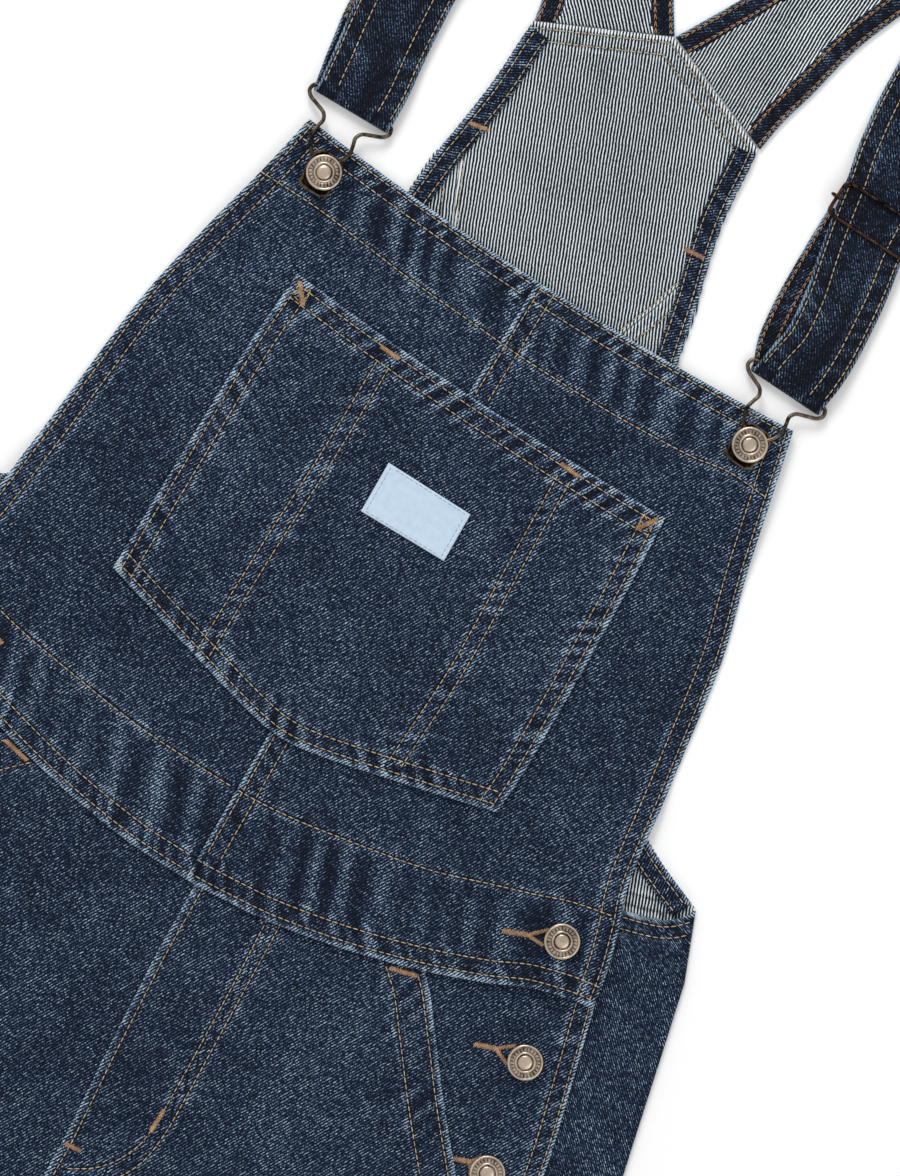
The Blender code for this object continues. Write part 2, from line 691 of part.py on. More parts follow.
def make_armhole_facings(finish):
    edge = [(point.x, point.y) for point in reversed(YOKE_SIDE[:-1])]
    edge += [(point.x, point.y) for point in ARMHOLE[1:-1]]
    edge.append(ARMHOLE_FACING_END)
    for side, name in ((-1, "armhole_facing_left"), (1, "armhole_facing_right")):
        outer = offset_line(edge, -GAP)
        middle = offset_line(edge, -ARMHOLE_FACING_WIDTH / 2.0)
        inner = offset_line(edge, -ARMHOLE_FACING_WIDTH)
        grid = []
        for points in zip(inner, middle, outer):
            grid.append([(x + side * sway(y), y, ARMHOLE_Z) for x, y in points])
        sheet(name, grid[::-1], FACING, finish, mirrored=side < 0)


def strap_line(row):
    """Points across one row of a strap, with its middle raised by the arch."""
    angle = math.radians(row.angle)
    line = []
    for share in np.linspace(-1.0, 1.0, STRAP_COLUMNS):
        x = row.x + share * row.half * math.cos(angle)
        y = row.y + share * row.half * math.sin(angle)
        line.append((x, y, row.z + row.arch * (1.0 - share * share)))
    return line


def strap_turn(first, last, radius, top_first):
    """Rows round a half turn of the strap, between two rows that lie on each other."""
    lines = []
    angle = math.radians(first.angle)
    away = (-math.sin(angle), math.cos(angle)) if top_first else (math.sin(angle), -math.cos(angle))
    for step in range(1, ROLL_STEPS):
        turn = math.pi * step / ROLL_STEPS
        reach = radius * math.sin(turn)
        share = step / ROLL_STEPS
        x = first.x + (last.x - first.x) * share + away[0] * reach
        y = first.y + (last.y - first.y) * share + away[1] * reach
        middle = (first.z + last.z) / 2.0
        z = middle + (first.z - middle) * math.cos(turn)
        half = first.half + (last.half - first.half) * share
        lines.append(strap_line(StrapRow(x, y, z, half, first.angle, 0.0)))
    return lines


def make_straps(finish):
    for side, name in ((-1, "left"), (1, "right")):
        rows = []
        for row in flowing(BACK_STRAP_ROWS, 2, keys=2):
            line = strap_line(row)
            rows.append([(side * x + BACK_STRAP_CENTRE, y, z) for x, y, z in line][::side])
        sheet("strap_back_" + name, rows, STRAP, finish)
    left = ("left", FRONT_STRAP_LEFT, RETURN_STRAP_LEFT)
    right = ("right", FRONT_STRAP_RIGHT, RETURN_STRAP_RIGHT)
    for name, front, back in (left, right):
        top = front[0]
        first = top._replace(y=top.y + SHOULDER_TURN)
        start = first._replace(z=STRAP / 2)
        lines = [strap_line(start)] + strap_turn(start, first, SHOULDER_ROLL, top_first=True)
        lines += [strap_line(row) for row in flowing((first,) + front, 2, keys=2)]
        lines += strap_turn(front[-1], back[0], HOOK_ROLL, top_first=False)
        lines += [strap_line(row) for row in flowing(back, 2, keys=2)]
        sheet("strap_front_" + name, lines, STRAP, finish)


def tube(name, points, radius, finish, closed=False):
    curve = bpy.data.curves.new(name, "CURVE")
    curve.dimensions = "3D"
    curve.bevel_depth = radius * MM
    curve.bevel_resolution = 2
    curve.use_fill_caps = True
    spline = curve.splines.new("POLY")
    spline.points.add(len(points) - 1)
    for target, (x, y, z) in zip(spline.points, points):
        target.co = ((x - LAY_CENTRE[0]) * MM, (y - LAY_CENTRE[1]) * MM, z * MM, 1.0)
    spline.use_cyclic_u = closed
    spline.use_smooth = True
    curve.materials.append(finish)
    thing = bpy.data.objects.new(name, curve)
    bpy.context.scene.collection.objects.link(thing)
    return thing


def turned_place(fastening, x, y):
    angle = math.radians(fastening.turn)
    x += fastening.shift
    return (
        fastening.x + x * math.cos(angle) - y * math.sin(angle),
        fastening.y + x * math.sin(angle) + y * math.cos(angle),
    )


def make_hooks(wire_finish, plate_finish):
    half = flowing(HOOK_WIRE, 2, keys=2)
    route = half + [point._replace(x=-point.x) for point in reversed(half[:-1])]
    for fastening in FASTENINGS:
        points = []
        for point in route:
            x, y = turned_place(fastening, point.x, point.y)
            points.append((x, y, HOOK_BAR_Z + (HOOK_LOW_Z - HOOK_BAR_Z) * point.lift))
        tube("hook_wire_" + fastening.name, points, WIRE_RADIUS, wire_finish)
        bm = bmesh.new()
        verts = []
        for edge in PLATE_OUTLINE:
            x, y = turned_place(fastening, edge.x - fastening.shift * PLATE_CENTRING, edge.y)
            verts.append(bm.verts.new((x, y, PLATE_Z)))
        face = bm.faces.new(verts)
        raised = bmesh.ops.extrude_face_region(bm, geom=[face])
        moved = [item for item in raised["geom"] if isinstance(item, bmesh.types.BMVert)]
        bmesh.ops.translate(bm, verts=moved, vec=(0.0, 0.0, PLATE_THICKNESS))
        bmesh.ops.recalc_face_normals(bm, faces=bm.faces)
        finish_object("hook_plate_" + fastening.name, bm, plate_finish, smooth=False)


def make_slides(finish):
    corners = []
    inner_x, inner_y = SLIDE_HALF.x - SLIDE_CORNER, SLIDE_HALF.y - SLIDE_CORNER
    for quarter, (sign_x, sign_y) in enumerate(((1, 1), (-1, 1), (-1, -1), (1, -1))):
        for step in range(5):
            angle = math.pi / 2.0 * (quarter + step / 4.0)
            corners.append((sign_x * inner_x + SLIDE_CORNER * math.cos(angle),
                            sign_y * inner_y + SLIDE_CORNER * math.sin(angle)))
    eye = flowing(SLIDE_EYE, 2, keys=2)
    bar = [(-point.x, point.z) for point in reversed(eye)] + [(point.x, point.z) for point in eye]
    for fastening in FASTENINGS:
        angle = math.radians(fastening.slide_turn)
        cos, sin = math.cos(angle), math.sin(angle)
        frame = [(fastening.slide_x + x * cos - y * sin,
                  fastening.slide_y + x * sin + y * cos,
                  SLIDE_FRAME_Z) for x, y in corners]
        tube("slide_frame_" + fastening.name, frame, SLIDE_RADIUS, finish, closed=True)
        points = [(fastening.slide_x + x * cos, fastening.slide_y + x * sin, z) for x, z in bar]
        tube("slide_bar_" + fastening.name, points, BAR_RADIUS, finish)


def make_button(name, x, y, z, shank, finish):
    bm = bmesh.new()
    section = [(0.0, 0.0), (SHANK_RADIUS, 0.0), (SHANK_RADIUS, shank)]
    section += [(point.radius, shank + point.z) for point in BUTTON_HEAD]
    verts = [bm.verts.new((radius, 0.0, height)) for radius, height in section]
    edges = [bm.edges.new(pair) for pair in zip(verts, verts[1:])]
    bmesh.ops.spin(bm, geom=verts + edges, cent=(0.0, 0.0, 0.0), axis=(0.0, 0.0, 1.0),
                   angle=math.tau, steps=BUTTON_STEPS, use_merge=True)
    bmesh.ops.remove_doubles(bm, verts=bm.verts, dist=0.01)
    bmesh.ops.recalc_face_normals(bm, faces=bm.faces)
    bmesh.ops.translate(bm, verts=bm.verts, vec=(x, y, z))
    finish_object(name, bm, finish)


def make_buttons(finish):
    for fastening in FASTENINGS:
        make_button("bib_button_" + fastening.name, fastening.x, fastening.y, BIB_BUTTON_Z, BIB_SHANK,
                    finish)
    for side, name in ((-1, "left"), (1, "right")):
        for index, button in enumerate(SIDE_BUTTONS):
            label = "side_button_{}_{}".format(name, index + 1)
            make_button(label, side * button.x, button.y, button.z, SIDE_SHANK, finish)


def main():
    for thing in list(bpy.data.objects):
        bpy.data.objects.remove(thing)
    denim = material("Washed indigo denim", (0.03, 0.055, 0.11), 0.85, 0.0)
    reverse = material("Denim reverse", (0.28, 0.33, 0.37), 0.9, 0.0)
    dark = material("Unwashed denim facing", (0.012, 0.018, 0.035), 0.85, 0.0)
    label = material("Pale woven label", (0.55, 0.7, 0.82), 0.7, 0.0)
    pewter = material("Antiqued pewter", (0.3, 0.27, 0.23), 0.4, 1.0)
    bronze = material("Dark bronze wire", (0.11, 0.07, 0.05), 0.35, 1.0)
    make_bib(denim)
    make_pocket(denim)
    make_label(label)
    make_front_legs(denim)
    make_side_facings(denim)
    make_back_legs(denim)
    make_yoke(reverse)
    make_armhole_facings(dark)
    make_straps(denim)
    make_hooks(pewter, pewter)
    make_slides(bronze)
    make_buttons(pewter)


main()
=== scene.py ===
"""Denim bib overalls laid flat and face up, dressed as worn-in indigo denim with its sewing.

Tables are in millimetres on the garment: X to the wearer's left, Y up from the waist seam at the
centre front, Z up from the surface. LAY_CENTRE moves them into the frame, which is in metres.
"""

import math
from collections import namedtuple

import bmesh
import bpy
import numpy as np
from bpy.props import FloatProperty, FloatVectorProperty, IntProperty, PointerProperty
from mathutils import Matrix, Vector
from mathutils.bvhtree import BVHTree


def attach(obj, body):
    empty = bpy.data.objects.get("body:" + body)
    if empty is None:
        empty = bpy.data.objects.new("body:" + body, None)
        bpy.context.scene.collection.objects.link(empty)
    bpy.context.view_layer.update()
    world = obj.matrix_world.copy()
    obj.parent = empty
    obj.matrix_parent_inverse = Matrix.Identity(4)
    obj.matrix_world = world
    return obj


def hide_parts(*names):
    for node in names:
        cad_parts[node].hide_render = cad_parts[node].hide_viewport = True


bl_info = {
    "name": "Denim Bib Overalls",
    "version": (1, 0, 0),
    "blender": (4, 5, 0),
    "location": "View3D > Sidebar > Overalls",
    "description": "Builds the cloth, sewing and fastenings of a pair of bib overalls laid flat",
    "category": "Add Mesh",
}

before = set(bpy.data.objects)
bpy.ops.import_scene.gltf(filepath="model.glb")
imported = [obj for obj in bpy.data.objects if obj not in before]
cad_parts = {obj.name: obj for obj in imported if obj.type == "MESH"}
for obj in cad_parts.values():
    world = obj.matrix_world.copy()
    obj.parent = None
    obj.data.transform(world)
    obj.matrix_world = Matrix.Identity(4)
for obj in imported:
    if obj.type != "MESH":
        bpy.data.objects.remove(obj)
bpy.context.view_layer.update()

MM = 0.001
LAY_CENTRE = (0.0, -201.03)

# Driving dimensions
HEM_Y = -1040.0
CROTCH_Y = -285.0
SHOULDER_Y = 632.0

# Walls, and the heights of the middle of each layer
DENIM = 1.2
FACING = 1.0
LABEL = 1.0
STRAP = 1.6
GAP = 0.3
SEAM_HALF_GAP = 0.15
CURL_HALF_GAP = 0.42
BACK_Z = 0.6
ARMHOLE_Z = 2.0
WRAP_Z = 2.5
FACING_Z = 4.0
FRONT_Z = 5.5
BIB_LAP_Z = 7.0
BIB_Z = 4.0
POCKET_Z = BIB_Z + DENIM + GAP
LABEL_Z = POCKET_Z + DENIM / 2 + GAP + LABEL / 2

SIDE_DROP = BIB_Z - BACK_Z
SIDE_DROP_START = 108.0
SIDE_DROP_WIDTH = 26.0
SIDE_DROP_MARGIN = 4.0
SIDE_DROP_TOP = (230.0, 290.0)
SIDE_DROP_BOTTOM = 119.0

# How far the waist seam has risen at each distance from the centre front
Rise = namedtuple("Rise", "x rise")
WAIST_RISE = (
    Rise(0.0, 0.0),
    Rise(30.0, 1.4),
    Rise(60.0, 5.5),
    Rise(100.0, 14.5),
    Rise(140.0, 27.5),
    Rise(160.0, 36.0),
    Rise(188.5, 41.0),
    Rise(300.0, 41.0),
)

BibRow = namedtuple("BibRow", "y tilt bow left right level")
BIB_ROWS = (
    BibRow(-3.0, 0.003, 1.0, -188.5, 188.5, BIB_LAP_Z),
    BibRow(9.0, 0.004, 1.0, -187.0, 187.0, BIB_LAP_Z),
    BibRow(36.0, 0.012, 0.97, -179.5, 180.5, BIB_LAP_Z),
    BibRow(54.0, 0.0, 0.92, -176.5, 176.0, 5.6),
    BibRow(70.0, -0.008, 0.85, -173.5, 173.6, BIB_Z),
    BibRow(110.0, -0.02, 0.68, -168.5, 170.2, BIB_Z),
    BibRow(150.0, -0.03, 0.53, -164.3, 166.4, BIB_Z),
    BibRow(200.0, -0.04, 0.39, -158.5, 160.8, BIB_Z),
    BibRow(250.0, -0.05, 0.3, -148.0, 150.0, BIB_Z),
    BibRow(288.0, -0.05, 0.27, -138.5, 142.3, BIB_Z),
    BibRow(319.5, -0.054, 0.24, -131.5, 136.0, BIB_Z),
)

Seam = namedtuple("Seam", "y x")
BIB_SEAM = (
    Seam(-10.0, -6.0),
    Seam(76.0, -6.0),
    Seam(262.0, -4.0),
    Seam(330.0, -1.5),
)

PocketRow = namedtuple("PocketRow", "y tilt bow vee left right")
POCKET_ROWS = (
    PocketRow(76.0, -0.045, 0.0, 0.27, -107.0, 104.5),
    PocketRow(104.0, -0.048, 0.03, 0.22, -106.4, 106.2),
    PocketRow(150.0, -0.055, 0.08, 0.14, -105.5, 106.5),
    PocketRow(205.0, -0.062, 0.14, 0.06, -104.3, 106.0),
    PocketRow(257.5, -0.068, 0.2, 0.0, -100.5, 104.5),
)
VEE_ROUNDING = 15.0

Point = namedtuple("Point", "x y")
LABEL_CORNERS = (
    Point(-20.0, 186.0),
    Point(25.0, 185.0),
    Point(25.0, 210.0),
    Point(-20.0, 212.0),
)

# The outer end of a front leg's row follows the hand pocket's edge and then the outseam
LegRow = namedtuple("LegRow", "y bow inner outer curl")
LEG_ROWS = (
    LegRow(HEM_Y, 0.0, 38.0, 253.0, 1.0),
    LegRow(-920.0, 0.0, 35.5, 252.6, 1.0),
    LegRow(-800.0, 0.0, 33.0, 252.0, 1.0),
    LegRow(-690.0, 0.0, 30.5, 250.2, 1.0),
    LegRow(-590.0, 0.0, 27.8, 247.6, 1.0),
    LegRow(-490.0, 0.0, 23.5, 244.5, 1.0),
    LegRow(-400.0, 0.0, 17.5, 241.0, 1.0),
    LegRow(-330.0, 0.0, 10.0, 238.0, 1.0),
    LegRow(-300.0, 0.0, 5.0, 235.6, 0.8),
    LegRow(CROTCH_Y, 0.0, 0.8, 234.2, 0.0),
    LegRow(-240.0, 0.0, 0.0, 230.0, 0.0),
    LegRow(-190.0, 0.0, 0.0, 224.3, 0.0),
    LegRow(-150.0, 0.0, 0.0, 218.6, 0.0),
    LegRow(-127.0, 0.03, 0.0, 214.0, 0.0),
    LegRow(-112.0, 0.1, 0.0, 203.0, 0.0),
    LegRow(-93.0, 0.2, 0.0, 190.0, 0.0),
    LegRow(-72.0, 0.3, 0.0, 172.0, 0.0),
    LegRow(-55.0, 0.45, 0.0, 155.0, 0.0),
    LegRow(-25.0, 0.7, 0.0, 131.0, 0.0),
    LegRow(-4.0, 1.0, 0.0, 113.0, 0.0),
    LegRow(7.0, 1.0, 0.0, 104.0, 0.0),
)

SideRow = namedtuple("SideRow", "y bow inner outer")
SIDE_ROWS = (
    SideRow(-127.0, 0.03, 200.0, 215.6),
    SideRow(-112.0, 0.1, 188.0, 214.5),
    SideRow(-93.0, 0.2, 172.0, 213.0),
    SideRow(-72.0, 0.3, 154.0, 210.2),
    SideRow(-55.0, 0.45, 137.0, 206.8),
    SideRow(-25.0, 0.7, 113.0, 197.6),
    SideRow(-4.0, 1.0, 95.0, 189.5),
    SideRow(7.0, 1.0, 86.0, 187.0),
)

CENTRE_FRONT = (
    Seam(CROTCH_Y, 6.0),
    Seam(-135.0, 5.0),
    Seam(-90.0, 2.0),
    Seam(-40.0, -0.5),
    Seam(20.0, -1.0),
)

# side is the fold of the flat garment, and wrap the end of the cloth that comes round it
BackRow = namedtuple("BackRow", "y inner side wrap level curl")
BACK_ROWS = (
    BackRow(HEM_Y, 38.0, 268.0, 253.3, FRONT_Z, 1.0),
    BackRow(-920.0, 35.5, 270.2, 252.9, FRONT_Z, 1.0),
    BackRow(-800.0, 33.0, 272.0, 252.3, FRONT_Z, 1.0),
    BackRow(-690.0, 30.5, 274.4, 250.5, FRONT_Z, 1.0),
    BackRow(-590.0, 27.8, 276.3, 247.9, FRONT_Z, 1.0),
    BackRow(-490.0, 23.5, 277.8, 244.8, FRONT_Z, 1.0),
    BackRow(-400.0, 17.5, 278.0, 241.3, FRONT_Z, 1.0),
    BackRow(-330.0, 10.0, 277.0, 238.3, FRONT_Z, 1.0),
    BackRow(-300.0, 5.0, 275.7, 235.9, FRONT_Z, 0.8),
    BackRow(CROTCH_Y, 0.8, 275.0, 234.5, FRONT_Z, 0.0),
    BackRow(-240.0, 0.0, 272.4, 230.4, FRONT_Z, 0.0),
    BackRow(-190.0, 0.0, 267.8, 224.8, FRONT_Z, 0.0),
    BackRow(-150.0, 0.0, 263.0, 219.2, FRONT_Z, 0.0),
    BackRow(-127.0, 0.0, 260.0, 216.6, 5.0, 0.0),
    BackRow(-88.0, 0.0, 252.8, 214.6, WRAP_Z, 0.0),
    BackRow(-80.0, 0.0, 251.3, 168.0, WRAP_Z, 0.0),
    BackRow(-40.0, 0.0, 243.6, 160.0, WRAP_Z, 0.0),
    BackRow(0.0, 0.0, 235.0, 153.0, WRAP_Z, 0.0),
    BackRow(40.0, 0.0, 226.5, 145.0, WRAP_Z, 0.0),
    BackRow(70.0, 0.0, 220.0, 140.0, WRAP_Z, 0.0),
)

YOKE_SEAM = (
    Point(0.0, 262.0),
    Point(24.0, 275.0),
    Point(38.0, 300.0),
    Point(47.0, 322.0),
    Point(53.0, 335.0),
    Point(60.5, 352.0),
)
ARMHOLE = (
    Point(69.7, 352.0),
    Point(75.0, 318.0),
    Point(81.0, 280.0),
    Point(92.0, 240.0),
    Point(110.0, 195.0),
    Point(135.0, 155.0),
    Point(173.0, 119.0),
    Point(205.5, 103.5),
)
YOKE_SIDE = (
    Point(69.7, 352.0),
    Point(67.5, 362.0),
    Point(65.0, 375.0),
    Point(63.0, 388.0),
    Point(62.0, 400.0),
    Point(61.4, 413.0),
    Point(60.3, 424.0),
)
FOLD_TOP = (
    Point(206.7, 102.6),
    Point(207.2, 101.8),
    Point(206.7, 100.6),
    Point(205.8, 98.6),
    Point(198.0, 91.5),
    Point(176.0, 85.0),
    Point(140.0, 79.0),
)
YOKE_PEAK = 450.0
ARMHOLE_FACING_WIDTH = 11.0
ARMHOLE_FACING_END = Point(204.5, 104.2)
# How much of the yoke's last side length the facing covers
FACING_REACH = 0.75
SWAY = 3.5
SWAY_START = 280.0
SWAY_LENGTH = 110.0

# The middle of each row of a strap, half its width along the row and the row's angle to X
StrapRow = namedtuple("StrapRow", "x y z half angle arch")
BACK_STRAP_ROWS = (
    StrapRow(30.4, 437.6, 0.8, 32.8, -23.3, 0.0),
    StrapRow(35.9, 452.0, 0.8, 30.0, -24.0, 0.0),
    StrapRow(43.8, 470.5, 0.8, 27.5, -23.0, 0.0),
    StrapRow(51.2, 489.0, 0.8, 24.7, -22.0, 0.0),
    StrapRow(60.0, 507.0, 0.8, 22.4, -22.0, 0.0),
    StrapRow(84.0, 560.0, 0.8, 21.5, -23.0, 0.0),
    StrapRow(103.0, 601.0, 0.8, 21.6, -18.0, 0.0),
    StrapRow(117.3, SHOULDER_Y - 1.4, 0.8, 22.0, -12.0, 0.0),
)
BACK_STRAP_CENTRE = -3.0
FRONT_STRAP_RIGHT = (
    StrapRow(115.9, SHOULDER_Y - 5.0, 3.6, 22.0, -12.0, 0.0),
    StrapRow(115.6, 605.0, 3.2, 21.6, -7.0, 0.0),
    StrapRow(115.2, 570.0, 2.8, 21.5, -2.0, 0.0),
    StrapRow(115.0, 535.0, 2.8, 21.5, 0.0, 0.0),
    StrapRow(114.9, 503.0, 1.1, 21.5, 0.0, 0.5),
    StrapRow(115.0, 478.0, 1.2, 21.3, 0.0, 0.5),
    StrapRow(117.2, 450.0, 3.0, 21.0, -1.0, 0.3),
    StrapRow(119.8, 432.0, 4.6, 20.4, -3.0, 0.0),
    StrapRow(121.6, 412.0, 4.6, 19.3, -3.0, 0.0),
    StrapRow(124.3, 395.0, 3.6, 18.8, -1.0, 2.6),
    StrapRow(126.8, 377.0, 3.4, 17.7, 0.0, 5.2),
    StrapRow(127.8, 360.0, 3.8, 17.4, 0.0, 6.2),
    StrapRow(126.0, 345.0, 5.1, 18.4, -2.0, 3.6),
    StrapRow(124.3, 334.6, 5.2, 18.5, -4.0, 0.0),
)
RETURN_STRAP_RIGHT = (
    StrapRow(123.4, 334.6, 0.8, 19.0, -4.0, 0.0),
    StrapRow(120.4, 352.0, 0.8, 20.6, 0.0, 0.0),
    StrapRow(119.0, 375.0, 0.8, 20.7, 0.0, 0.0),
    StrapRow(119.0, 398.0, 0.8, 20.6, 0.0, 0.0),
    StrapRow(119.4, 418.0, 0.8, 20.4, 0.0, 0.0),
)
FRONT_STRAP_LEFT = (
    StrapRow(-121.9, SHOULDER_Y - 5.0, 3.6, 22.0, 12.0, 0.0),
    StrapRow(-122.0, 605.0, 3.2, 21.6, 7.0, 0.0),
    StrapRow(-122.2, 570.0, 2.8, 21.5, 2.0, 0.0),
    StrapRow(-122.4, 535.0, 2.8, 21.5, 0.0, 0.0),
    StrapRow(-122.6, 505.0, 1.1, 21.5, 0.0, 0.5),
    StrapRow(-122.6, 486.0, 1.2, 21.5, 0.0, 0.5),
    StrapRow(-122.2, 464.0, 3.0, 21.2, 0.0, 0.3),
    StrapRow(-121.9, 446.0, 4.6, 20.8, 0.0, 0.0),
    StrapRow(-121.4, 426.0, 4.6, 20.8, 0.0, 0.0),
    StrapRow(-120.5, 405.0, 3.4, 20.7, 0.0, 1.2),
    StrapRow(-118.9, 382.0, 3.2, 20.5, -1.0, 2.0),
    StrapRow(-117.0, 364.0, 4.5, 20.4, -2.0, 1.2),
    StrapRow(-116.2, 347.8, 5.2, 19.6, -1.0, 0.0),
)
RETURN_STRAP_LEFT = (
    StrapRow(-117.4, 347.8, 0.8, 20.0, -1.0, 0.0),
    StrapRow(-119.4, 366.0, 0.8, 20.8, 0.0, 0.0),
    StrapRow(-122.0, 390.0, 0.8, 20.8, 0.0, 0.0),
    StrapRow(-122.0, 412.0, 0.8, 20.8, 0.0, 0.0),
    StrapRow(-122.0, 432.0, 0.8, 20.6, 0.0, 0.0),
)
SHOULDER_ROLL = 1.4
SHOULDER_TURN = 4.2
HOOK_ROLL = 2.2

Fastening = namedtuple("Fastening", "name x y turn shift slide_x slide_y slide_turn")
FASTENINGS = (
    Fastening("left", -113.0, 314.0, 0.0, -4.0, -121.7, 436.0, 1.0),
    Fastening("right", 121.5, 302.5, -5.5, -1.0, 120.9, 422.0, -3.0),
)
WIRE_RADIUS = 0.95
SLIDE_RADIUS = 0.9
BAR_RADIUS = 0.8
BUTTON_RADIUS = 8.5
PLATE_Z = 4.9
PLATE_THICKNESS = 0.9
PLATE_CENTRING = 0.75
BIB_BUTTON_Z = PLATE_Z + PLATE_THICKNESS + GAP
HOOK_BAR_Z = 3.0
HOOK_LOW_Z = BIB_BUTTON_Z + WIRE_RADIUS
SLIDE_FRAME_Z = 6.65
SLIDE_BAR_Z = 2.75

WirePoint = namedtuple("WirePoint", "x y lift")
HOOK_WIRE = (
    WirePoint(5.2, 5.0, 1.0),
    WirePoint(8.4, 9.0, 1.0),
    WirePoint(10.0, 14.0, 1.0),
    WirePoint(9.3, 18.0, 0.85),
    WirePoint(8.6, 21.0, 0.72),
    WirePoint(10.0, 24.0, 0.58),
    WirePoint(15.0, 26.3, 0.38),
    WirePoint(19.6, 28.3, 0.2),
    WirePoint(21.4, 31.0, 0.05),
    WirePoint(20.6, 33.6, 0.0),
    WirePoint(17.5, 34.6, 0.0),
    WirePoint(0.0, 34.6, 0.0),
)
PLATE_OUTLINE = (
    Point(-8.2, 6.0),
    Point(-5.0, 9.5),
    Point(5.0, 9.5),
    Point(8.2, 6.0),
    Point(8.2, -3.5),
    Point(7.4, -6.5),
    Point(8.0, -8.6),
    Point(4.6, -11.0),
    Point(-4.6, -11.0),
    Point(-8.0, -8.6),
    Point(-7.4, -6.5),
    Point(-8.2, -3.5),
)
SLIDE_HALF = Point(21.4, 8.6)
SLIDE_CORNER = 2.6
SlideEye = namedtuple("SlideEye", "x z")
SLIDE_EYE = (
    SlideEye(15.0, SLIDE_BAR_Z),
    SlideEye(21.4, 3.1),
    SlideEye(23.6, 4.5),
    SlideEye(23.9, 6.4),
    SlideEye(22.9, 8.0),
    SlideEye(21.2, 8.6),
    SlideEye(19.4, 7.9),
    SlideEye(18.9, 7.0),
)

SideButton = namedtuple("SideButton", "x y z")
SIDE_BUTTONS = (
    SideButton(160.5, 59.0, BIB_LAP_Z + DENIM / 2 + GAP),
    SideButton(173.7, 1.5, FACING_Z + DENIM / 2 + GAP),
    SideButton(184.0, -52.0, FACING_Z + DENIM / 2 + GAP),
)
SIDE_SHANK = 1.0
BIB_SHANK = 2.3

Fold = namedtuple("Fold", "x y length width angle height")
LEG_FOLDS = (
    Fold(70.0, -235.0, 60.0, 13.0, 20.0, 1.1),
    Fold(85.0, -275.0, 70.0, 14.0, 12.0, 1.2),
    Fold(120.0, -345.0, 75.0, 16.0, 4.0, 0.9),
    Fold(140.0, -560.0, 70.0, 18.0, -14.0, 1.0),
    Fold(150.0, -625.0, 80.0, 18.0, 8.0, 1.2),
    Fold(135.0, -690.0, 70.0, 20.0, 16.0, 0.9),
    Fold(155.0, -930.0, 70.0, 22.0, -10.0, 0.8),
)

# Sewing inside the panels: each row of stitches is a line of points, on one panel
BAND_LINE = (
    Point(-139.0, 300.0),
    Point(-110.0, 298.5),
    Point(-80.0, 294.5),
    Point(-50.0, 290.5),
    Point(-20.0, 288.0),
    Point(0.0, 286.0),
    Point(20.0, 284.7),
    Point(60.0, 283.5),
    Point(100.0, 284.5),
    Point(120.0, 287.0),
    Point(142.0, 285.0),
)
WAISTBAND_LINE = (
    Point(-176.0, 76.0),
    Point(-140.0, 62.0),
    Point(-100.0, 54.0),
    Point(-50.0, 47.0),
    Point(0.0, 45.0),
    Point(20.0, 46.0),
    Point(50.0, 50.0),
    Point(90.0, 57.0),
    Point(120.0, 66.0),
    Point(140.0, 72.0),
    Point(155.0, 77.0),
    Point(176.0, 81.0),
)
PENCIL_LEFT = (
    Point(-45.0, 250.0),
    Point(-46.3, 200.0),
    Point(-49.0, 150.0),
    Point(-51.0, 90.0),
)
PENCIL_RIGHT = (
    Point(54.3, 246.0),
    Point(54.8, 200.0),
    Point(55.5, 150.0),
    Point(52.0, 90.0),
)
PENCIL_HALF = 3.2
FLY_INNER = (
    Point(36.5, 0.0),
    Point(38.0, -40.0),
    Point(39.0, -100.0),
    Point(38.0, -117.0),
    Point(33.0, -130.0),
    Point(25.0, -140.0),
    Point(12.0, -148.0),
)
FLY_OUTER = (
    Point(43.0, 1.0),
    Point(44.0, -50.0),
    Point(45.0, -105.0),
    Point(43.5, -122.0),
    Point(38.0, -136.0),
    Point(28.0, -147.0),
    Point(13.0, -156.0),
)
YOKE_ROW_INSETS = (5.0, 10.5)


def ease(value):
    value = np.clip(value, 0.0, 1.0)
    return value * value * (3.0 - 2.0 * value)


def flowing(rows, steps, keys=1):
    """The rows of a table with more between them, on a curve that never overshoots a row."""
    values = np.array(rows, dtype=float)
    spans = np.linalg.norm(np.diff(values[:, :keys], axis=0), axis=1)
    slopes = np.diff(values, axis=0) / spans[:, None]
    tangents = np.empty_like(values)
    tangents[0] = slopes[0]
    tangents[-1] = slopes[-1]
    for index in range(1, len(values) - 1):
        before, after = slopes[index - 1], slopes[index]
        same_way = before * after > 0
        weight_a = 2.0 * spans[index] + spans[index - 1]
        weight_b = spans[index] + 2.0 * spans[index - 1]
        safe_before = np.where(same_way, before, 1.0)
        safe_after = np.where(same_way, after, 1.0)
        mean = (weight_a + weight_b) / (weight_a / safe_before + weight_b / safe_after)
        tangents[index] = np.where(same_way, mean, 0.0)
    result = []
    for index, span in enumerate(spans):
        for step in range(steps):
            t = step / steps
            start_part = (1.0 + 2.0 * t) * (1.0 - t) ** 2
            end_part = t * t * (3.0 - 2.0 * t)
            result.append(
                start_part * values[index]
                + t * (1.0 - t) ** 2 * span * tangents[index]
                + end_part * values[index + 1]
                + t * t * (t - 1.0) * span * tangents[index + 1]
            )
    result.append(values[-1])
    return [type(rows[0])(*row) for row in result]


def even(rows, spacing, keys=1):
    """A flowing table read again at even steps of its first columns."""
    fine = np.array(flowing(rows, 12, keys))
    along = arc(fine[:, :keys])
    count = max(int(round(along[-1] / spacing)), 2)
    places = np.linspace(0.0, along[-1], count + 1)
    return np.stack([np.interp(places, along, column) for column in fine.T], axis=1)


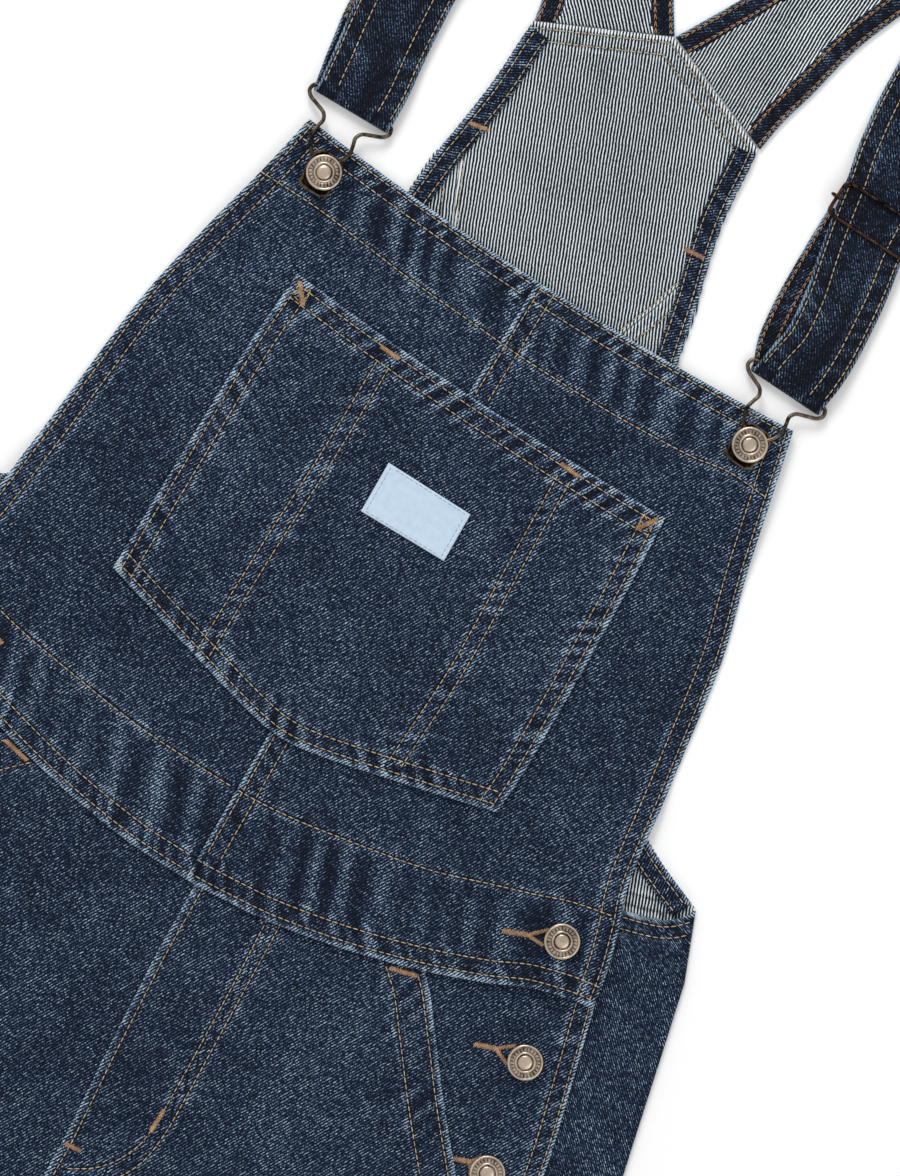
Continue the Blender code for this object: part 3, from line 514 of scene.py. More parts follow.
def arc(points):
    """Distance along a line of points."""
    steps = np.linalg.norm(np.diff(np.asarray(points, dtype=float), axis=0), axis=1)
    return np.concatenate([[0.0], np.cumsum(steps)])


def read(table, at):
    first = [row[0] for row in table]
    second = [row[1] for row in table]
    return np.interp(at, first, second)


WAIST_RISE_FINE = flowing(WAIST_RISE, 6)


def waist_rise(x):
    return read(WAIST_RISE_FINE, np.abs(x))


def sway(y):
    return -SWAY * ease((y - SWAY_START) / SWAY_LENGTH)


def armhole_x(y):
    return read([(edge.y, edge.x) for edge in reversed(ARMHOLE)], y)


def fold_height(x, y):
    total = 0.0
    for fold in LEG_FOLDS:
        angle = math.radians(fold.angle)
        across, along = x - fold.x, y - fold.y
        length = across * math.cos(angle) + along * math.sin(angle)
        width = along * math.cos(angle) - across * math.sin(angle)
        total = total + fold.height * np.exp(-((length / fold.length) ** 2) - (width / fold.width) ** 2)
    return total


def offset_line(points, distance):
    """A line moved sideways, to the left of its direction for a positive distance."""
    line = np.array(points, dtype=float)
    steps = np.diff(line, axis=0)
    steps /= np.linalg.norm(steps, axis=1)[:, None]
    sides = np.stack([-steps[:, 1], steps[:, 0]], axis=1)
    corners = np.vstack([sides[:1], (sides[:-1] + sides[1:]) / 2.0, sides[-1:]])
    lengths = np.sum(corners * corners, axis=1)
    return line + corners * (distance / lengths)[:, None]


def drift(seed, *places):
    """Smooth uneven noise from -1 to 1, of about one unit's grain."""
    rng = np.random.default_rng(seed)
    total = 0.0
    for _ in range(9):
        angle = rng.uniform(0.0, math.tau)
        pace = rng.uniform(0.5, 1.3) * math.tau / 2.0
        turn = rng.uniform(0.0, math.tau)
        if len(places) == 1:
            total = total + np.cos(places[0] * pace + turn)
        else:
            run = places[0] * math.cos(angle) + places[1] * math.sin(angle)
            total = total + np.cos(run * pace + turn)
    return np.clip(total / 4.0, -1.0, 1.0)


def ropes(along, across, period, lean, seed):
    """The uneven ripples that a shrunk seam pulls up, crossing it at a lean."""
    place = along + lean * across
    phase = place / period + 0.45 * drift(seed, place / (2.2 * period))
    strength = 0.62 + 0.38 * drift(seed + 1, along / (2.7 * period))
    return np.sin(math.tau * phase) * strength


def nearest(x, y, line):
    """Signed distance to a line, positive on its left, and the place along it."""
    line = np.asarray(line, dtype=float)
    lengths = arc(line)
    best = np.full(x.shape, 1e9)
    side = np.zeros(x.shape)
    along = np.zeros(x.shape)
    for index in range(len(line) - 1):
        start, step = line[index], line[index + 1] - line[index]
        span = float(np.hypot(*step))
        if span < 1e-9:
            continue
        dx, dy = x - start[0], y - start[1]
        share = np.clip((dx * step[0] + dy * step[1]) / span ** 2, 0.0, 1.0)
        away = np.hypot(dx - share * step[0], dy - share * step[1])
        closer = away < best
        best = np.where(closer, away, best)
        side = np.where(closer, np.sign(step[0] * dy - step[1] * dx), side)
        along = np.where(closer, lengths[index] + share * span, along)
    return best * np.where(side == 0.0, 1.0, side), along


Hem = namedtuple("Hem", "line first second pull")
Inside = namedtuple("Inside", "line half pull")
FAR = 99.0
HEM_REACH = 30.0
ROW_REACH = 12.0


def sewn(x, y, hems, rows, seed, period=8.5):
    """What the sewing does to the cloth at each place: its marks and how far it lifts the cloth."""
    edge = np.zeros(x.shape + (3,))
    edge[..., 0] = HEM_REACH
    edge[..., 1:] = FAR
    row = np.zeros(x.shape + (3,))
    row[..., 0] = ROW_REACH
    ripple = np.zeros(x.shape)
    plateau = np.zeros(x.shape)
    groove = np.zeros(x.shape)
    for index, hem in enumerate(hems):
        away, along = nearest(x, y, hem.line)
        away = np.abs(away)
        closer = away < edge[..., 0]
        edge[..., 0] = np.where(closer, away, edge[..., 0])
        edge[..., 1] = np.where(closer, hem.first, edge[..., 1])
        edge[..., 2] = np.where(closer, hem.second, edge[..., 2])
        if hem.pull == 0.0:
            continue
        width = hem.second if hem.second < FAR else hem.first
        inside = ease(away / 1.2) * np.exp(-np.maximum(away - width, 0.0) / 4.5)
        waves = ropes(along, away, period, 0.55, seed + 7 * index)
        ripple += hem.pull * waves * inside
        plateau = np.maximum(plateau, 0.4 * ease((width + 2.4 - away) / 2.2))
        for place in (hem.first, hem.second):
            groove = np.maximum(groove, 0.3 * np.exp(-((away - place) / 0.9) ** 2))
    for index, inside in enumerate(rows):
        away, along = nearest(x, y, inside.line)
        closer = np.abs(away) < np.abs(row[..., 0])
        row[..., 0] = np.where(closer, away, row[..., 0])
        row[..., 1] = np.where(closer, ease((ROW_REACH - np.abs(away)) / 3.0), row[..., 1])
        row[..., 2] = np.where(closer, inside.half, row[..., 2])
        off = np.abs(np.abs(away) - inside.half)
        waves = ropes(along, away, period, 0.5, seed + 7 * index + 101)
        ripple += inside.pull * waves * np.exp(-np.maximum(np.abs(away) - inside.half, 0.0) / 5.0)
        groove = np.maximum(groove, 0.25 * np.exp(-((off / 0.9) ** 2)))
    ripple = np.clip(ripple, -1.1, 1.1)
    lift = plateau + 0.34 * (ripple + 0.35 * np.abs(ripple)) - groove
    return {"edge": edge, "row": row, "pucker": ripple}, lift


# The places and the flat pattern of each piece of cloth, for the sewing that follows its edges
GRIDS = {}
# The pieces made so far, each under the name of the part that it stands for
PIECES = {}


def put(name, mesh, finishes):
    """A finished piece at the origin, on the one body, with its finishes."""
    for finish in finishes:
        mesh.materials.append(finish)
    thing = bpy.data.objects.new(name + "_made", mesh)
    bpy.context.scene.collection.objects.link(thing)
    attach(thing, "root")
    PIECES[name] = thing
    return thing


def cloth(name, places, flat, marks, wall, finishes):
    """A grid of cloth on places, with its flat pattern as its UV map, and a wall by Solidify."""
    GRIDS[name] = (places, flat)
    rows, columns = places.shape[:2]
    bm = bmesh.new()
    bmesh.ops.create_grid(bm, x_segments=columns - 1, y_segments=rows - 1, size=0.5)
    mesh = bpy.data.meshes.new(name)
    bm.to_mesh(mesh)
    bm.free()
    spots = np.empty(len(mesh.vertices) * 3)
    mesh.vertices.foreach_get("co", spots)
    spots = spots.reshape(-1, 3)
    column = np.rint((spots[:, 0] + 0.5) * (columns - 1)).astype(int)
    row = np.rint((spots[:, 1] + 0.5) * (rows - 1)).astype(int)
    moved = (places[row, column] - np.array([*LAY_CENTRE, 0.0])) * MM
    mesh.vertices.foreach_set("co", moved.ravel())
    for key, values in marks.items():
        kind = "FLOAT_VECTOR" if values.ndim == 3 else "FLOAT"
        layer = mesh.attributes.new(key, kind, "POINT")
        field = "vector" if values.ndim == 3 else "value"
        layer.data.foreach_set(field, values[row, column].astype(np.float32).ravel())
    corner = np.empty(len(mesh.loops), dtype=int)
    mesh.loops.foreach_get("vertex_index", corner)
    pattern = mesh.uv_layers.new(name="Cloth")
    pattern.data.foreach_set("uv", (flat[row, column][corner] * MM).astype(np.float32).ravel())
    mesh.update()
    mesh.shade_smooth()
    thing = put(name, mesh, finishes)
    solid = thing.modifiers.new("Cloth wall", "SOLIDIFY")
    solid.thickness = wall * MM
    solid.offset = 0.0
    solid.use_quality_normals = True
    solid.material_offset = 1 if len(finishes) > 1 else 0
    return thing


def declare(flat):
    """Measures the cut of a piece of cloth on its flat pattern; the measures are not kept or used."""
    across, up = np.diff(flat, axis=1)[:-1], np.diff(flat, axis=0)[:, :-1]
    area = float(np.abs(across[..., 0] * up[..., 1] - across[..., 1] * up[..., 0]).sum()) * MM * MM
    width = float(np.ptp(flat[..., 0])) * MM
    length = float(np.ptp(flat[..., 1])) * MM
    area = min(area, width * length)


def planar(places):
    return places[..., :2].copy()


def smoothed(points, spacing):
    """A line of points on a flowing curve with even spacing."""
    return even([Point(*point) for point in points], spacing, keys=2)[:, :2]


class Finish:
    """One material, with short ways to add and join its nodes."""

    def __init__(self, name, roughness, metallic=0.0, specular=0.3):
        self.material = bpy.data.materials.new(name)
        self.material.use_nodes = True
        self.tree = self.material.node_tree
        self.shader = self.tree.nodes["Principled BSDF"]
        self.shader.inputs["Roughness"].default_value = roughness
        self.shader.inputs["Metallic"].default_value = metallic
        self.shader.inputs["Specular IOR Level"].default_value = specular

    def feed(self, socket, value):
        if isinstance(value, bpy.types.NodeSocket):
            self.tree.links.new(value, socket)
        else:
            socket.default_value = value

    def add(self, kind, feeds=(), **settings):
        node = self.tree.nodes.new(kind)
        for key, value in settings.items():
            setattr(node, key, value)
        for socket, value in feeds:
            self.feed(node.inputs[socket], value)
        return node

    def maths(self, operation, first, second=0.0, third=0.0):
        node = self.add("ShaderNodeMath", ((0, first), (1, second), (2, third)), operation=operation)
        return node.outputs[0]

    def total(self, start, *parts):
        """start, with each (value, share) added to it."""
        for value, share in parts:
            start = self.maths("MULTIPLY_ADD", value, share, start)
        return start

    def bell(self, value, width):
        scaled = self.maths("DIVIDE", value, width)
        return self.maths("EXPONENT", self.maths("MULTIPLY", self.maths("MULTIPLY", scaled, scaled), -1.0))

    def between(self, value, low, high, start=0.0, end=1.0):
        node = self.add(
            "ShaderNodeMapRange",
            ((0, value), (1, low), (2, high), (3, start), (4, end)),
            interpolation_type="SMOOTHSTEP",
        )
        return node.outputs[0]

    def noise(self, vector, scale, detail=2.0):
        """Noise about zero, from about -1 to 1."""
        node = self.add("ShaderNodeTexNoise", (("Vector", vector), ("Scale", scale), ("Detail", detail)))
        return self.maths("MULTIPLY_ADD", node.outputs[0], 4.0, -2.0)

    def ramp(self, value, stops):
        node = self.add("ShaderNodeValToRGB", ((0, value),))
        elements = node.color_ramp.elements
        while len(elements) < len(stops):
            elements.new(0.5)
        for element, (place, colour) in zip(elements, stops):
            element.position = place
            element.color = (*colour, 1.0)
        return node.outputs[0]

    def bump(self, height, distance, strength=1.0):
        node = self.add("ShaderNodeBump", (("Height", height), ("Distance", distance), ("Strength", strength)))
        self.feed(self.shader.inputs["Normal"], node.outputs[0])

    def colour(self, value):
        self.feed(self.shader.inputs["Base Color"], value)


def linear(*bytes_):
    """A colour from its screen values of 0 to 255."""
    shares = [byte / 255.0 for byte in bytes_]
    return tuple(s / 12.92 if s <= 0.04045 else ((s + 0.055) / 1.055) ** 2.4 for s in shares)


FACE_COLOURS = (
    (0.0, linear(4, 8, 20)),
    (0.25, linear(11, 20, 40)),
    (0.5, linear(30, 48, 77)),
    (0.75, linear(88, 112, 138)),
    (1.0, linear(176, 196, 208)),
)
DARK_COLOURS = (
    (0.0, linear(3, 5, 13)),
    (0.3, linear(8, 13, 27)),
    (0.55, linear(21, 33, 56)),
    (0.8, linear(62, 82, 108)),
    (1.0, linear(124, 146, 164)),
)
REVERSE_COLOURS = (
    (0.0, linear(14, 20, 28)),
    (0.3, linear(46, 57, 67)),
    (0.52, linear(112, 124, 131)),
    (0.75, linear(168, 179, 184)),
    (1.0, linear(222, 228, 230)),
)

# The last column is the share that the fading attribute adds to the tone; on some pieces that attribute also
# holds painted shade.
Weave = namedtuple("Weave", "lean pitch line slub tone ripple wear")
FACE_WEAVE = Weave(31.0, 1.25, 0.38, 0.48, 0.195, 0.4, 0.13)
DARK_WEAVE = Weave(31.0, 1.25, 0.3, 0.42, 0.23, 0.34, 0.16)
REVERSE_WEAVE = Weave(-21.0, 1.5, 0.85, 0.24, 0.24, 0.2, 0.1)


def denim(name, weave, colours):
    """Twill in the cloth's own pattern, with the fading that its seams and use give it, painted shade along its
    rows of stitches, and broad patches partly painted as shade of gentle waves.
    """
    finish = Finish(name, 0.88, specular=0.15)
    finish.shader.inputs["Sheen Weight"].default_value = 0.06
    finish.shader.inputs["Sheen Roughness"].default_value = 0.5
    pattern = finish.add("ShaderNodeUVMap", uv_map="Cloth").outputs[0]
    grid = finish.add("ShaderNodeVectorMath", ((0, pattern), ("Scale", 1.0 / MM)), operation="SCALE")
    split = finish.add("ShaderNodeSeparateXYZ", ((0, grid.outputs[0]),))
    lean = math.radians(weave.lean)
    across = finish.maths("MULTIPLY", split.outputs[0], math.cos(lean))
    across = finish.maths("MULTIPLY_ADD", split.outputs[1], -math.sin(lean), across)
    along = finish.maths("MULTIPLY", split.outputs[0], math.sin(lean))
    along = finish.maths("MULTIPLY_ADD", split.outputs[1], math.cos(lean), along)
    wander = finish.noise(grid.outputs[0], 0.16, 3.0)
    turn = finish.maths("DIVIDE", across, weave.pitch)
    turn = finish.maths("MULTIPLY_ADD", wander, 0.16, turn)
    line = finish.maths("SINE", finish.maths("MULTIPLY", turn, math.tau))
    threads = finish.add(
        "ShaderNodeCombineXYZ",
        ((0, finish.maths("DIVIDE", across, 0.5)), (1, finish.maths("DIVIDE", along, 1.3))),
    ).outputs[0]
    slub = finish.noise(threads, 0.8, 2.0)
    fleck = finish.noise(grid.outputs[0], 1.6, 1.0)
    blotch = finish.noise(grid.outputs[0], 0.07, 4.0)
    # Broad soft patches: random tone, and partly painted shade of gentle waves and wrinkles in the cloth.
    cloud_and_wave_shade = finish.noise(grid.outputs[0], 0.014, 3.0)
    edge = finish.add("ShaderNodeAttribute", attribute_name="edge").outputs["Vector"]
    edge = finish.add("ShaderNodeSeparateXYZ", ((0, edge),)).outputs
    row = finish.add("ShaderNodeAttribute", attribute_name="row").outputs["Vector"]
    row = finish.add("ShaderNodeSeparateXYZ", ((0, row),)).outputs
    pucker = finish.add("ShaderNodeAttribute", attribute_name="pucker").outputs["Fac"]
    # This attribute holds fading from use and, on some pieces, painted shade of gentle waves and wrinkles.
    wear = finish.add("ShaderNodeAttribute", attribute_name="wear").outputs["Fac"]
    first = finish.maths("SUBTRACT", edge[0], edge[1])
    second = finish.maths("SUBTRACT", edge[0], edge[2])
    inner = finish.maths("SUBTRACT", finish.maths("ABSOLUTE", row[0]), row[2])
    # Darker along each row of stitches: partly unfaded indigo, partly painted shade in the groove that the row
    # sinks into.
    crease_shade_and_dye = finish.maths("ADD", finish.bell(first, 0.75), finish.bell(second, 0.75))
    crease_shade_and_dye = finish.maths("MULTIPLY_ADD", finish.bell(inner, 0.75), row[1], crease_shade_and_dye)
    ridge = finish.bell(finish.maths("SUBTRACT", second, 2.0), 1.0)
    ridge = finish.maths("ADD", ridge, finish.bell(finish.maths("ADD", first, 1.5), 0.8))
    off = finish.maths("SUBTRACT", finish.maths("ABSOLUTE", inner), 1.7)
    ridge = finish.maths("MULTIPLY_ADD", finish.bell(off, 0.8), row[1], ridge)
    rubbed = finish.between(edge[0], 0.4, 2.3, 1.0, 0.0)
    rubbed = finish.maths("MULTIPLY", rubbed, finish.maths("MULTIPLY_ADD", blotch, 0.3, 0.85))
    broken = finish.maths("MULTIPLY_ADD", blotch, 0.45, 0.5)
    ridge = finish.maths("MULTIPLY", ridge, broken)
    rough = finish.maths("MULTIPLY", pucker, fleck)
    tone = finish.total(
        weave.tone,
        (line, weave.line),
        (slub, weave.slub),
        (fleck, weave.slub * 0.8),
        (rough, 0.3),
        (blotch, 0.07),
        (cloud_and_wave_shade, 0.09),
        (pucker, weave.ripple),
        (wear, weave.wear),
        (crease_shade_and_dye, -0.3),
        (ridge, 0.36),
        (rubbed, 0.5),
    )
    finish.colour(finish.ramp(tone, colours))
    height = finish.total(0.0, (line, 0.6), (slub, 0.5), (crease_shade_and_dye, -1.5))
    finish.bump(height, 0.12 * MM, 0.7)
    return finish.material


def thread(name, dark, pale):
    finish = Finish(name, 0.7, specular=0.3)
    place = finish.add("ShaderNodeTexCoord").outputs["Object"]
    patch = finish.noise(place, 260.0, 2.0)
    ply = finish.noise(place, 1900.0, 2.0)
    tone = finish.total(0.5, (patch, 0.22), (ply, 0.16))
    finish.colour(finish.ramp(tone, ((0.15, dark), (0.85, pale))))
    finish.bump(ply, 0.1 * MM, 0.8)
    return finish.material


def metal(name, dark, pale, roughness):
    """Cast or drawn metal with its finish darkened in the low places."""
    finish = Finish(name, roughness, metallic=1.0, specular=0.5)
    place = finish.add("ShaderNodeTexCoord").outputs["Object"]
    patina = finish.noise(place, 420.0, 4.0)
    stain = finish.noise(place, 90.0, 3.0)
    worn = finish.add("ShaderNodeAttribute", attribute_name="worn").outputs["Fac"]
    tone = finish.total(0.24, (patina, 0.16), (stain, 0.14), (worn, 0.6))
    finish.colour(finish.ramp(tone, ((0.1, dark), (0.8, pale))))
    finish.feed(finish.shader.inputs["Roughness"], finish.total(roughness, (patina, 0.06)))
    finish.bump(patina, 0.05 * MM, 0.5)
    return finish.material


def woven_tape(name):
    finish = Finish(name, 0.75, specular=0.2)
    pattern = finish.add("ShaderNodeUVMap", uv_map="Cloth").outputs[0]
    split = finish.add("ShaderNodeSeparateXYZ", ((0, pattern),))
    warp = finish.maths("SINE", finish.maths("MULTIPLY", split.outputs[0], math.tau / (0.5 * MM)))
    weft = finish.maths("SINE", finish.maths("MULTIPLY", split.outputs[1], math.tau / (0.5 * MM)))
    weave = finish.maths("MULTIPLY", warp, weft)
    soil = finish.noise(pattern, 300.0, 4.0)
    tone = finish.total(0.6, (weave, 0.1), (soil, 0.14))
    stops = ((0.1, linear(160, 184, 204)), (0.6, linear(196, 216, 234)), (1.0, linear(216, 230, 242)))
    finish.colour(finish.ramp(tone, stops))
    finish.bump(weave, 0.08 * MM, 0.8)
    return finish.material


FINISHES = {}


def finish_named(name):
    """Each finish is made once, on its first use."""
    makers = {
        "face": lambda: denim("Washed indigo denim", FACE_WEAVE, FACE_COLOURS),
        "dark": lambda: denim("Unfaded indigo denim", DARK_WEAVE, DARK_COLOURS),
        "reverse": lambda: denim("Denim reverse", REVERSE_WEAVE, REVERSE_COLOURS),
        "gold": lambda: thread("Golden tan thread", linear(130, 108, 78), linear(226, 204, 164)),
        "copper": lambda: thread("Copper brown thread", linear(116, 82, 56), linear(218, 176, 134)),
        "pale": lambda: thread("Pale blue thread", linear(96, 118, 142), linear(160, 180, 198)),
        "pewter": lambda: metal("Antiqued pewter", linear(26, 20, 17), linear(198, 180, 162), 0.3),
        "brass": lambda: metal("Dulled brass wire", linear(34, 28, 24), linear(168, 150, 130), 0.26),
        "bronze": lambda: metal("Dark bronze wire", linear(20, 14, 13), linear(126, 94, 76), 0.28),
        "tape": lambda: woven_tape("Pale woven tape"),
    }
    if name not in FINISHES:
        FINISHES[name] = makers[name]()
    return FINISHES[name]


Spot = namedtuple("Spot", "x y across up amount")
# Where wear has faded the front, or left it dark
WEAR_SPOTS = (
    Spot(-75.0, -150.0, 75.0, 90.0, 0.4),
    Spot(90.0, -130.0, 55.0, 100.0, 0.3),
    Spot(-95.0, -480.0, 70.0, 150.0, 0.4),
    Spot(140.0, -480.0, 70.0, 150.0, 0.4),
    Spot(20.0, -60.0, 30.0, 80.0, -0.25),
    Spot(0.0, 150.0, 70.0, 60.0, 0.1),
    Spot(-140.0, 130.0, 30.0, 80.0, -0.12),
    Spot(145.0, 160.0, 25.0, 90.0, -0.14),
    Spot(0.0, 60.0, 80.0, 18.0, -0.1),
    Spot(235.0, -60.0, 40.0, 120.0, -0.3),
    Spot(-235.0, -60.0, 40.0, 120.0, -0.3),
)


def wear_and_shade_at(x, y):
    # The slow drift is painted shade of gentle waves in the cloth; the spots are fading from use.
    total = 0.1 * drift(77, x / 45.0, y / 60.0)
    for spot in WEAR_SPOTS:
        total = total + spot.amount * np.exp(-((x - spot.x) / spot.across) ** 2 - ((y - spot.y) / spot.up) ** 2)
    return total


def table_at(rows, places):
    """The columns of a table, after the first, at given places of its first column."""
    fine = np.array(flowing(rows, 10))
    return [np.interp(places, fine[:, 0], column) for column in fine.T[1:]]


def steps_of(low, high, spacing):
    return np.linspace(low, high, max(int(round((high - low) / spacing)), 1) + 1)


def lifted(places, lift):
    places = places.copy()
    places[..., 2] += lift
    return places


def band_folds(x, y, low, high, period, seed):
    """Ripples that cross a band of cloth between two lines of sewing."""
    from_low, _ = nearest(x, y, low)
    from_high, _ = nearest(x, y, high)
    width = np.abs(from_low) + np.abs(from_high)
    inside = (from_low > 0.0) & (from_high < 0.0)
    share = np.where(inside, np.abs(from_low) / width, 0.0)
    window = np.where(inside, ease(share / 0.2) * ease((1.0 - share) / 0.2), 0.0)
    return window * ropes(x, y, period, 0.35, seed)


def make_bib(spacing):
    rows_y = steps_of(BIB_ROWS[0].y, BIB_ROWS[-1].y, spacing)
    tilt, bow, left, right, level = table_at(BIB_ROWS, rows_y)
    for side, name in ((-1, "bib_left"), (1, "bib_right")):
        seam = read(BIB_SEAM, rows_y) + side * SEAM_HALF_GAP
        start, end = (left, seam) if side < 0 else (seam, right)
        count = int(round(180.0 / spacing))
        share = np.linspace(0.0, 1.0, count)
        x = start[:, None] + (end - start)[:, None] * share
        y = rows_y[:, None] + tilt[:, None] * x + bow[:, None] * waist_rise(x)
        drop_start = np.maximum(armhole_x(y) + SIDE_DROP_MARGIN, SIDE_DROP_START)
        low, high = SIDE_DROP_TOP
        drop = ease((np.abs(x) - drop_start) / SIDE_DROP_WIDTH) * ease((high - y) / (high - low))
        z = level[:, None] - SIDE_DROP * np.where(y < SIDE_DROP_BOTTOM, 0.0, drop)
        places = np.stack([x, y, z], axis=-1)
        bottom, top = places[0, :, :2], places[-1, :, :2]
        outer = places[:, 0 if side < 0 else -1, :2]
        hems = [Hem(bottom, 3.5, 10.5, 0.8), Hem(top, 2.6, 9.0, 0.8), Hem(outer, 3.0, 9.5, 0.3)]
        if side > 0:
            hems.append(Hem(places[:, 0, :2], 3.0, 9.8, 0.5))
        inside = [Inside(BAND_LINE, 0.0, 0.5), Inside(WAISTBAND_LINE, 0.0, 0.45)]
        marks, lift = sewn(x, y, hems, inside, 11 + side)
        folds = 0.6 * band_folds(x, y, BAND_LINE, top, 15.0, 31)
        folds += 0.5 * band_folds(x, y, bottom, WAISTBAND_LINE, 17.0, 37)
        marks["pucker"] = np.clip(marks["pucker"] + folds, -1.2, 1.2)
        marks["wear"] = wear_and_shade_at(x, y)
        lift = lift + 0.4 * folds + 0.12 * drift(5, x / 30.0, y / 40.0)
        thing = cloth(name, lifted(places, lift), planar(places), marks, DENIM,
                      [finish_named("face"), finish_named("reverse")])
        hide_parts(name)
        declare(planar(places))


def make_pocket(spacing):
    rows_y = steps_of(POCKET_ROWS[0].y, POCKET_ROWS[-1].y, spacing)
    tilt, bow, vee, left, right = table_at(POCKET_ROWS, rows_y)
    share = np.linspace(0.0, 1.0, int(round(212.0 / spacing)))
    x = left[:, None] + (right - left)[:, None] * share
    y = rows_y[:, None] + tilt[:, None] * x + bow[:, None] * waist_rise(x)
    y = y + vee[:, None] * (np.hypot(x, VEE_ROUNDING) - VEE_ROUNDING)
    places = np.stack([x, y, np.full(x.shape, POCKET_Z)], axis=-1)
    hems = [
        Hem(places[0, :, :2], 3.5, 9.5, 0.9),
        Hem(places[-1, :, :2], 4.0, 11.0, 1.0),
        Hem(places[:, 0, :2], 3.5, 9.5, 0.7),
        Hem(places[:, -1, :2], 3.5, 9.5, 0.7),
    ]
    inside = [Inside(PENCIL_LEFT, PENCIL_HALF, 0.45), Inside(PENCIL_RIGHT, PENCIL_HALF, 0.45)]
    marks, lift = sewn(x, y, hems, inside, 41)
    marks["wear"] = wear_and_shade_at(x, y) + 0.1
    lift = lift + 0.15 * drift(6, x / 34.0, y / 40.0)
    thing = cloth("bib_pocket", lifted(places, lift), planar(places), marks, DENIM,
                  [finish_named("face"), finish_named("reverse")])
    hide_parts("bib_pocket")
    declare(planar(places))


def make_label():
    corners = [np.array(corner) for corner in LABEL_CORNERS]
    up = np.linspace(0.0, 1.0, 25)[:, None, None]
    across = np.linspace(0.0, 1.0, 41)[None, :, None]
    low = corners[0] + (corners[1] - corners[0]) * across
    high = corners[3] + (corners[2] - corners[3]) * across
    spot = low + (high - low) * up
    x, y = spot[..., 0], spot[..., 1]
    round_it = [Hem(np.array(LABEL_CORNERS + LABEL_CORNERS[:1]), 2.2, FAR, 0.12)]
    marks, lift = sewn(x, y, round_it, [], 3)
    places = np.stack([x, y, LABEL_Z + 0.5 * lift + 0.12 * drift(9, x / 14.0, y / 12.0)], axis=-1)
    thing = cloth("pocket_label", places, planar(places), marks, 0.7, [finish_named("tape")])
    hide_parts("pocket_label")
    declare(planar(places))


def curl_lines(edge, level, curl, upward, steps=3):
    """Points round the quarter curl at a leg's inner edge, for every row at once."""
    radius = (FRONT_Z - BACK_Z) / 2.0
    flat = 0.9 * radius
    turn = 1.0 if upward else -1.0
    xs, zs = [], []
    for step in range(steps):
        share = step / steps
        angle = math.pi / 2.0 * share
        xs.append(edge + curl * radius * (1.0 - math.cos(angle)) + (1.0 - curl) * flat * share)
        rise = radius * (1.0 - math.sin(angle)) - CURL_HALF_GAP * (1.0 - share)
        zs.append(level + turn * curl * rise)
    xs.append(edge + curl * radius + (1.0 - curl) * flat)
    zs.append(np.full(edge.shape, level))
    return np.stack(xs, axis=1), np.stack(zs, axis=1)


def mirrored(places):
    places = places.copy()
    places[..., 0] *= -1.0
    return places[:, ::-1]


def make_front_legs(spacing, count=80):
    rows_y = np.concatenate([
        steps_of(HEM_Y, -210.0, 3.0 * spacing)[:-1],
        steps_of(-210.0, LEG_ROWS[-1].y, spacing),
    ])
    bow, inner, outer, curl = table_at(LEG_ROWS, rows_y)
    for side, name in ((-1, "front_leg_left"), (1, "front_leg_right")):
        seam = side * read(CENTRE_FRONT, np.maximum(rows_y, CROTCH_Y))
        seam = seam * np.clip(1.0 - (CROTCH_Y - rows_y) / 45.0, 0.0, 1.0)
        seam = np.where(rows_y < CROTCH_Y, seam, side * read(CENTRE_FRONT, rows_y))
        curl_x, curl_z = curl_lines(inner + seam + SEAM_HALF_GAP, FRONT_Z, curl, upward=False)
        share = np.linspace(0.0, 1.0, count)[1:]
        flat_x = curl_x[:, -1:] + (outer[:, None] - curl_x[:, -1:]) * share
        y = rows_y[:, None]
        fade = ease((outer[:, None] - flat_x) / 40.0) * ease((-150.0 - y) / 60.0)
        flat_z = FRONT_Z + fade * fold_height(flat_x, y)
        x = np.concatenate([curl_x, flat_x], axis=1)
        z = np.concatenate([curl_z, flat_z], axis=1)
        y = y + bow[:, None] * waist_rise(x)
        places = np.stack([x, y, z], axis=-1)
        upper = rows_y > -119.0
        body = rows_y > CROTCH_Y
        hems = [
            Hem(places[upper, -1, :2], 3.6, 16.5, 0.5),
            Hem(places[~upper, -1, :2], FAR, FAR, 0.0),
            Hem(places[~body, 0, :2], 4.5, 10.5, 0.5),
            Hem(places[0, :, :2], 12.0, FAR, 0.9),
        ]
        inside = []
        if side > 0:
            hems.append(Hem(places[body, 0, :2], 4.0, FAR, 0.4))
            inside = [Inside(FLY_INNER, 0.0, 0.35), Inside(FLY_OUTER, 0.0, 0.35)]
        marks, lift = sewn(x, y, hems, inside, 61 + side)
        marks["wear"] = wear_and_shade_at(side * x, y)
        whisker = ropes(y + 0.45 * x, x, 21.0, 0.0, 71 + side)
        near_hip = np.exp(-((x - 60.0) / 55.0) ** 2 - ((y + 225.0) / 60.0) ** 2)
        marks["wear"] = marks["wear"] + 0.22 * whisker * near_hip
        lift = lift + (0.25 * drift(8 + side, x / 38.0, y / 60.0)) * ease((CROTCH_Y + 60.0 - y) / 90.0)
        places = lifted(places, lift * ease((x - curl_x[:, :1]) / 3.0))
        if side < 0:
            places = mirrored(places)
            marks = {key: values[:, ::-1] for key, values in marks.items()}
        thing = cloth(name, places, planar(places), marks, DENIM,
                      [finish_named("face"), finish_named("reverse")])
        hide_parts(name)
        declare(planar(places))


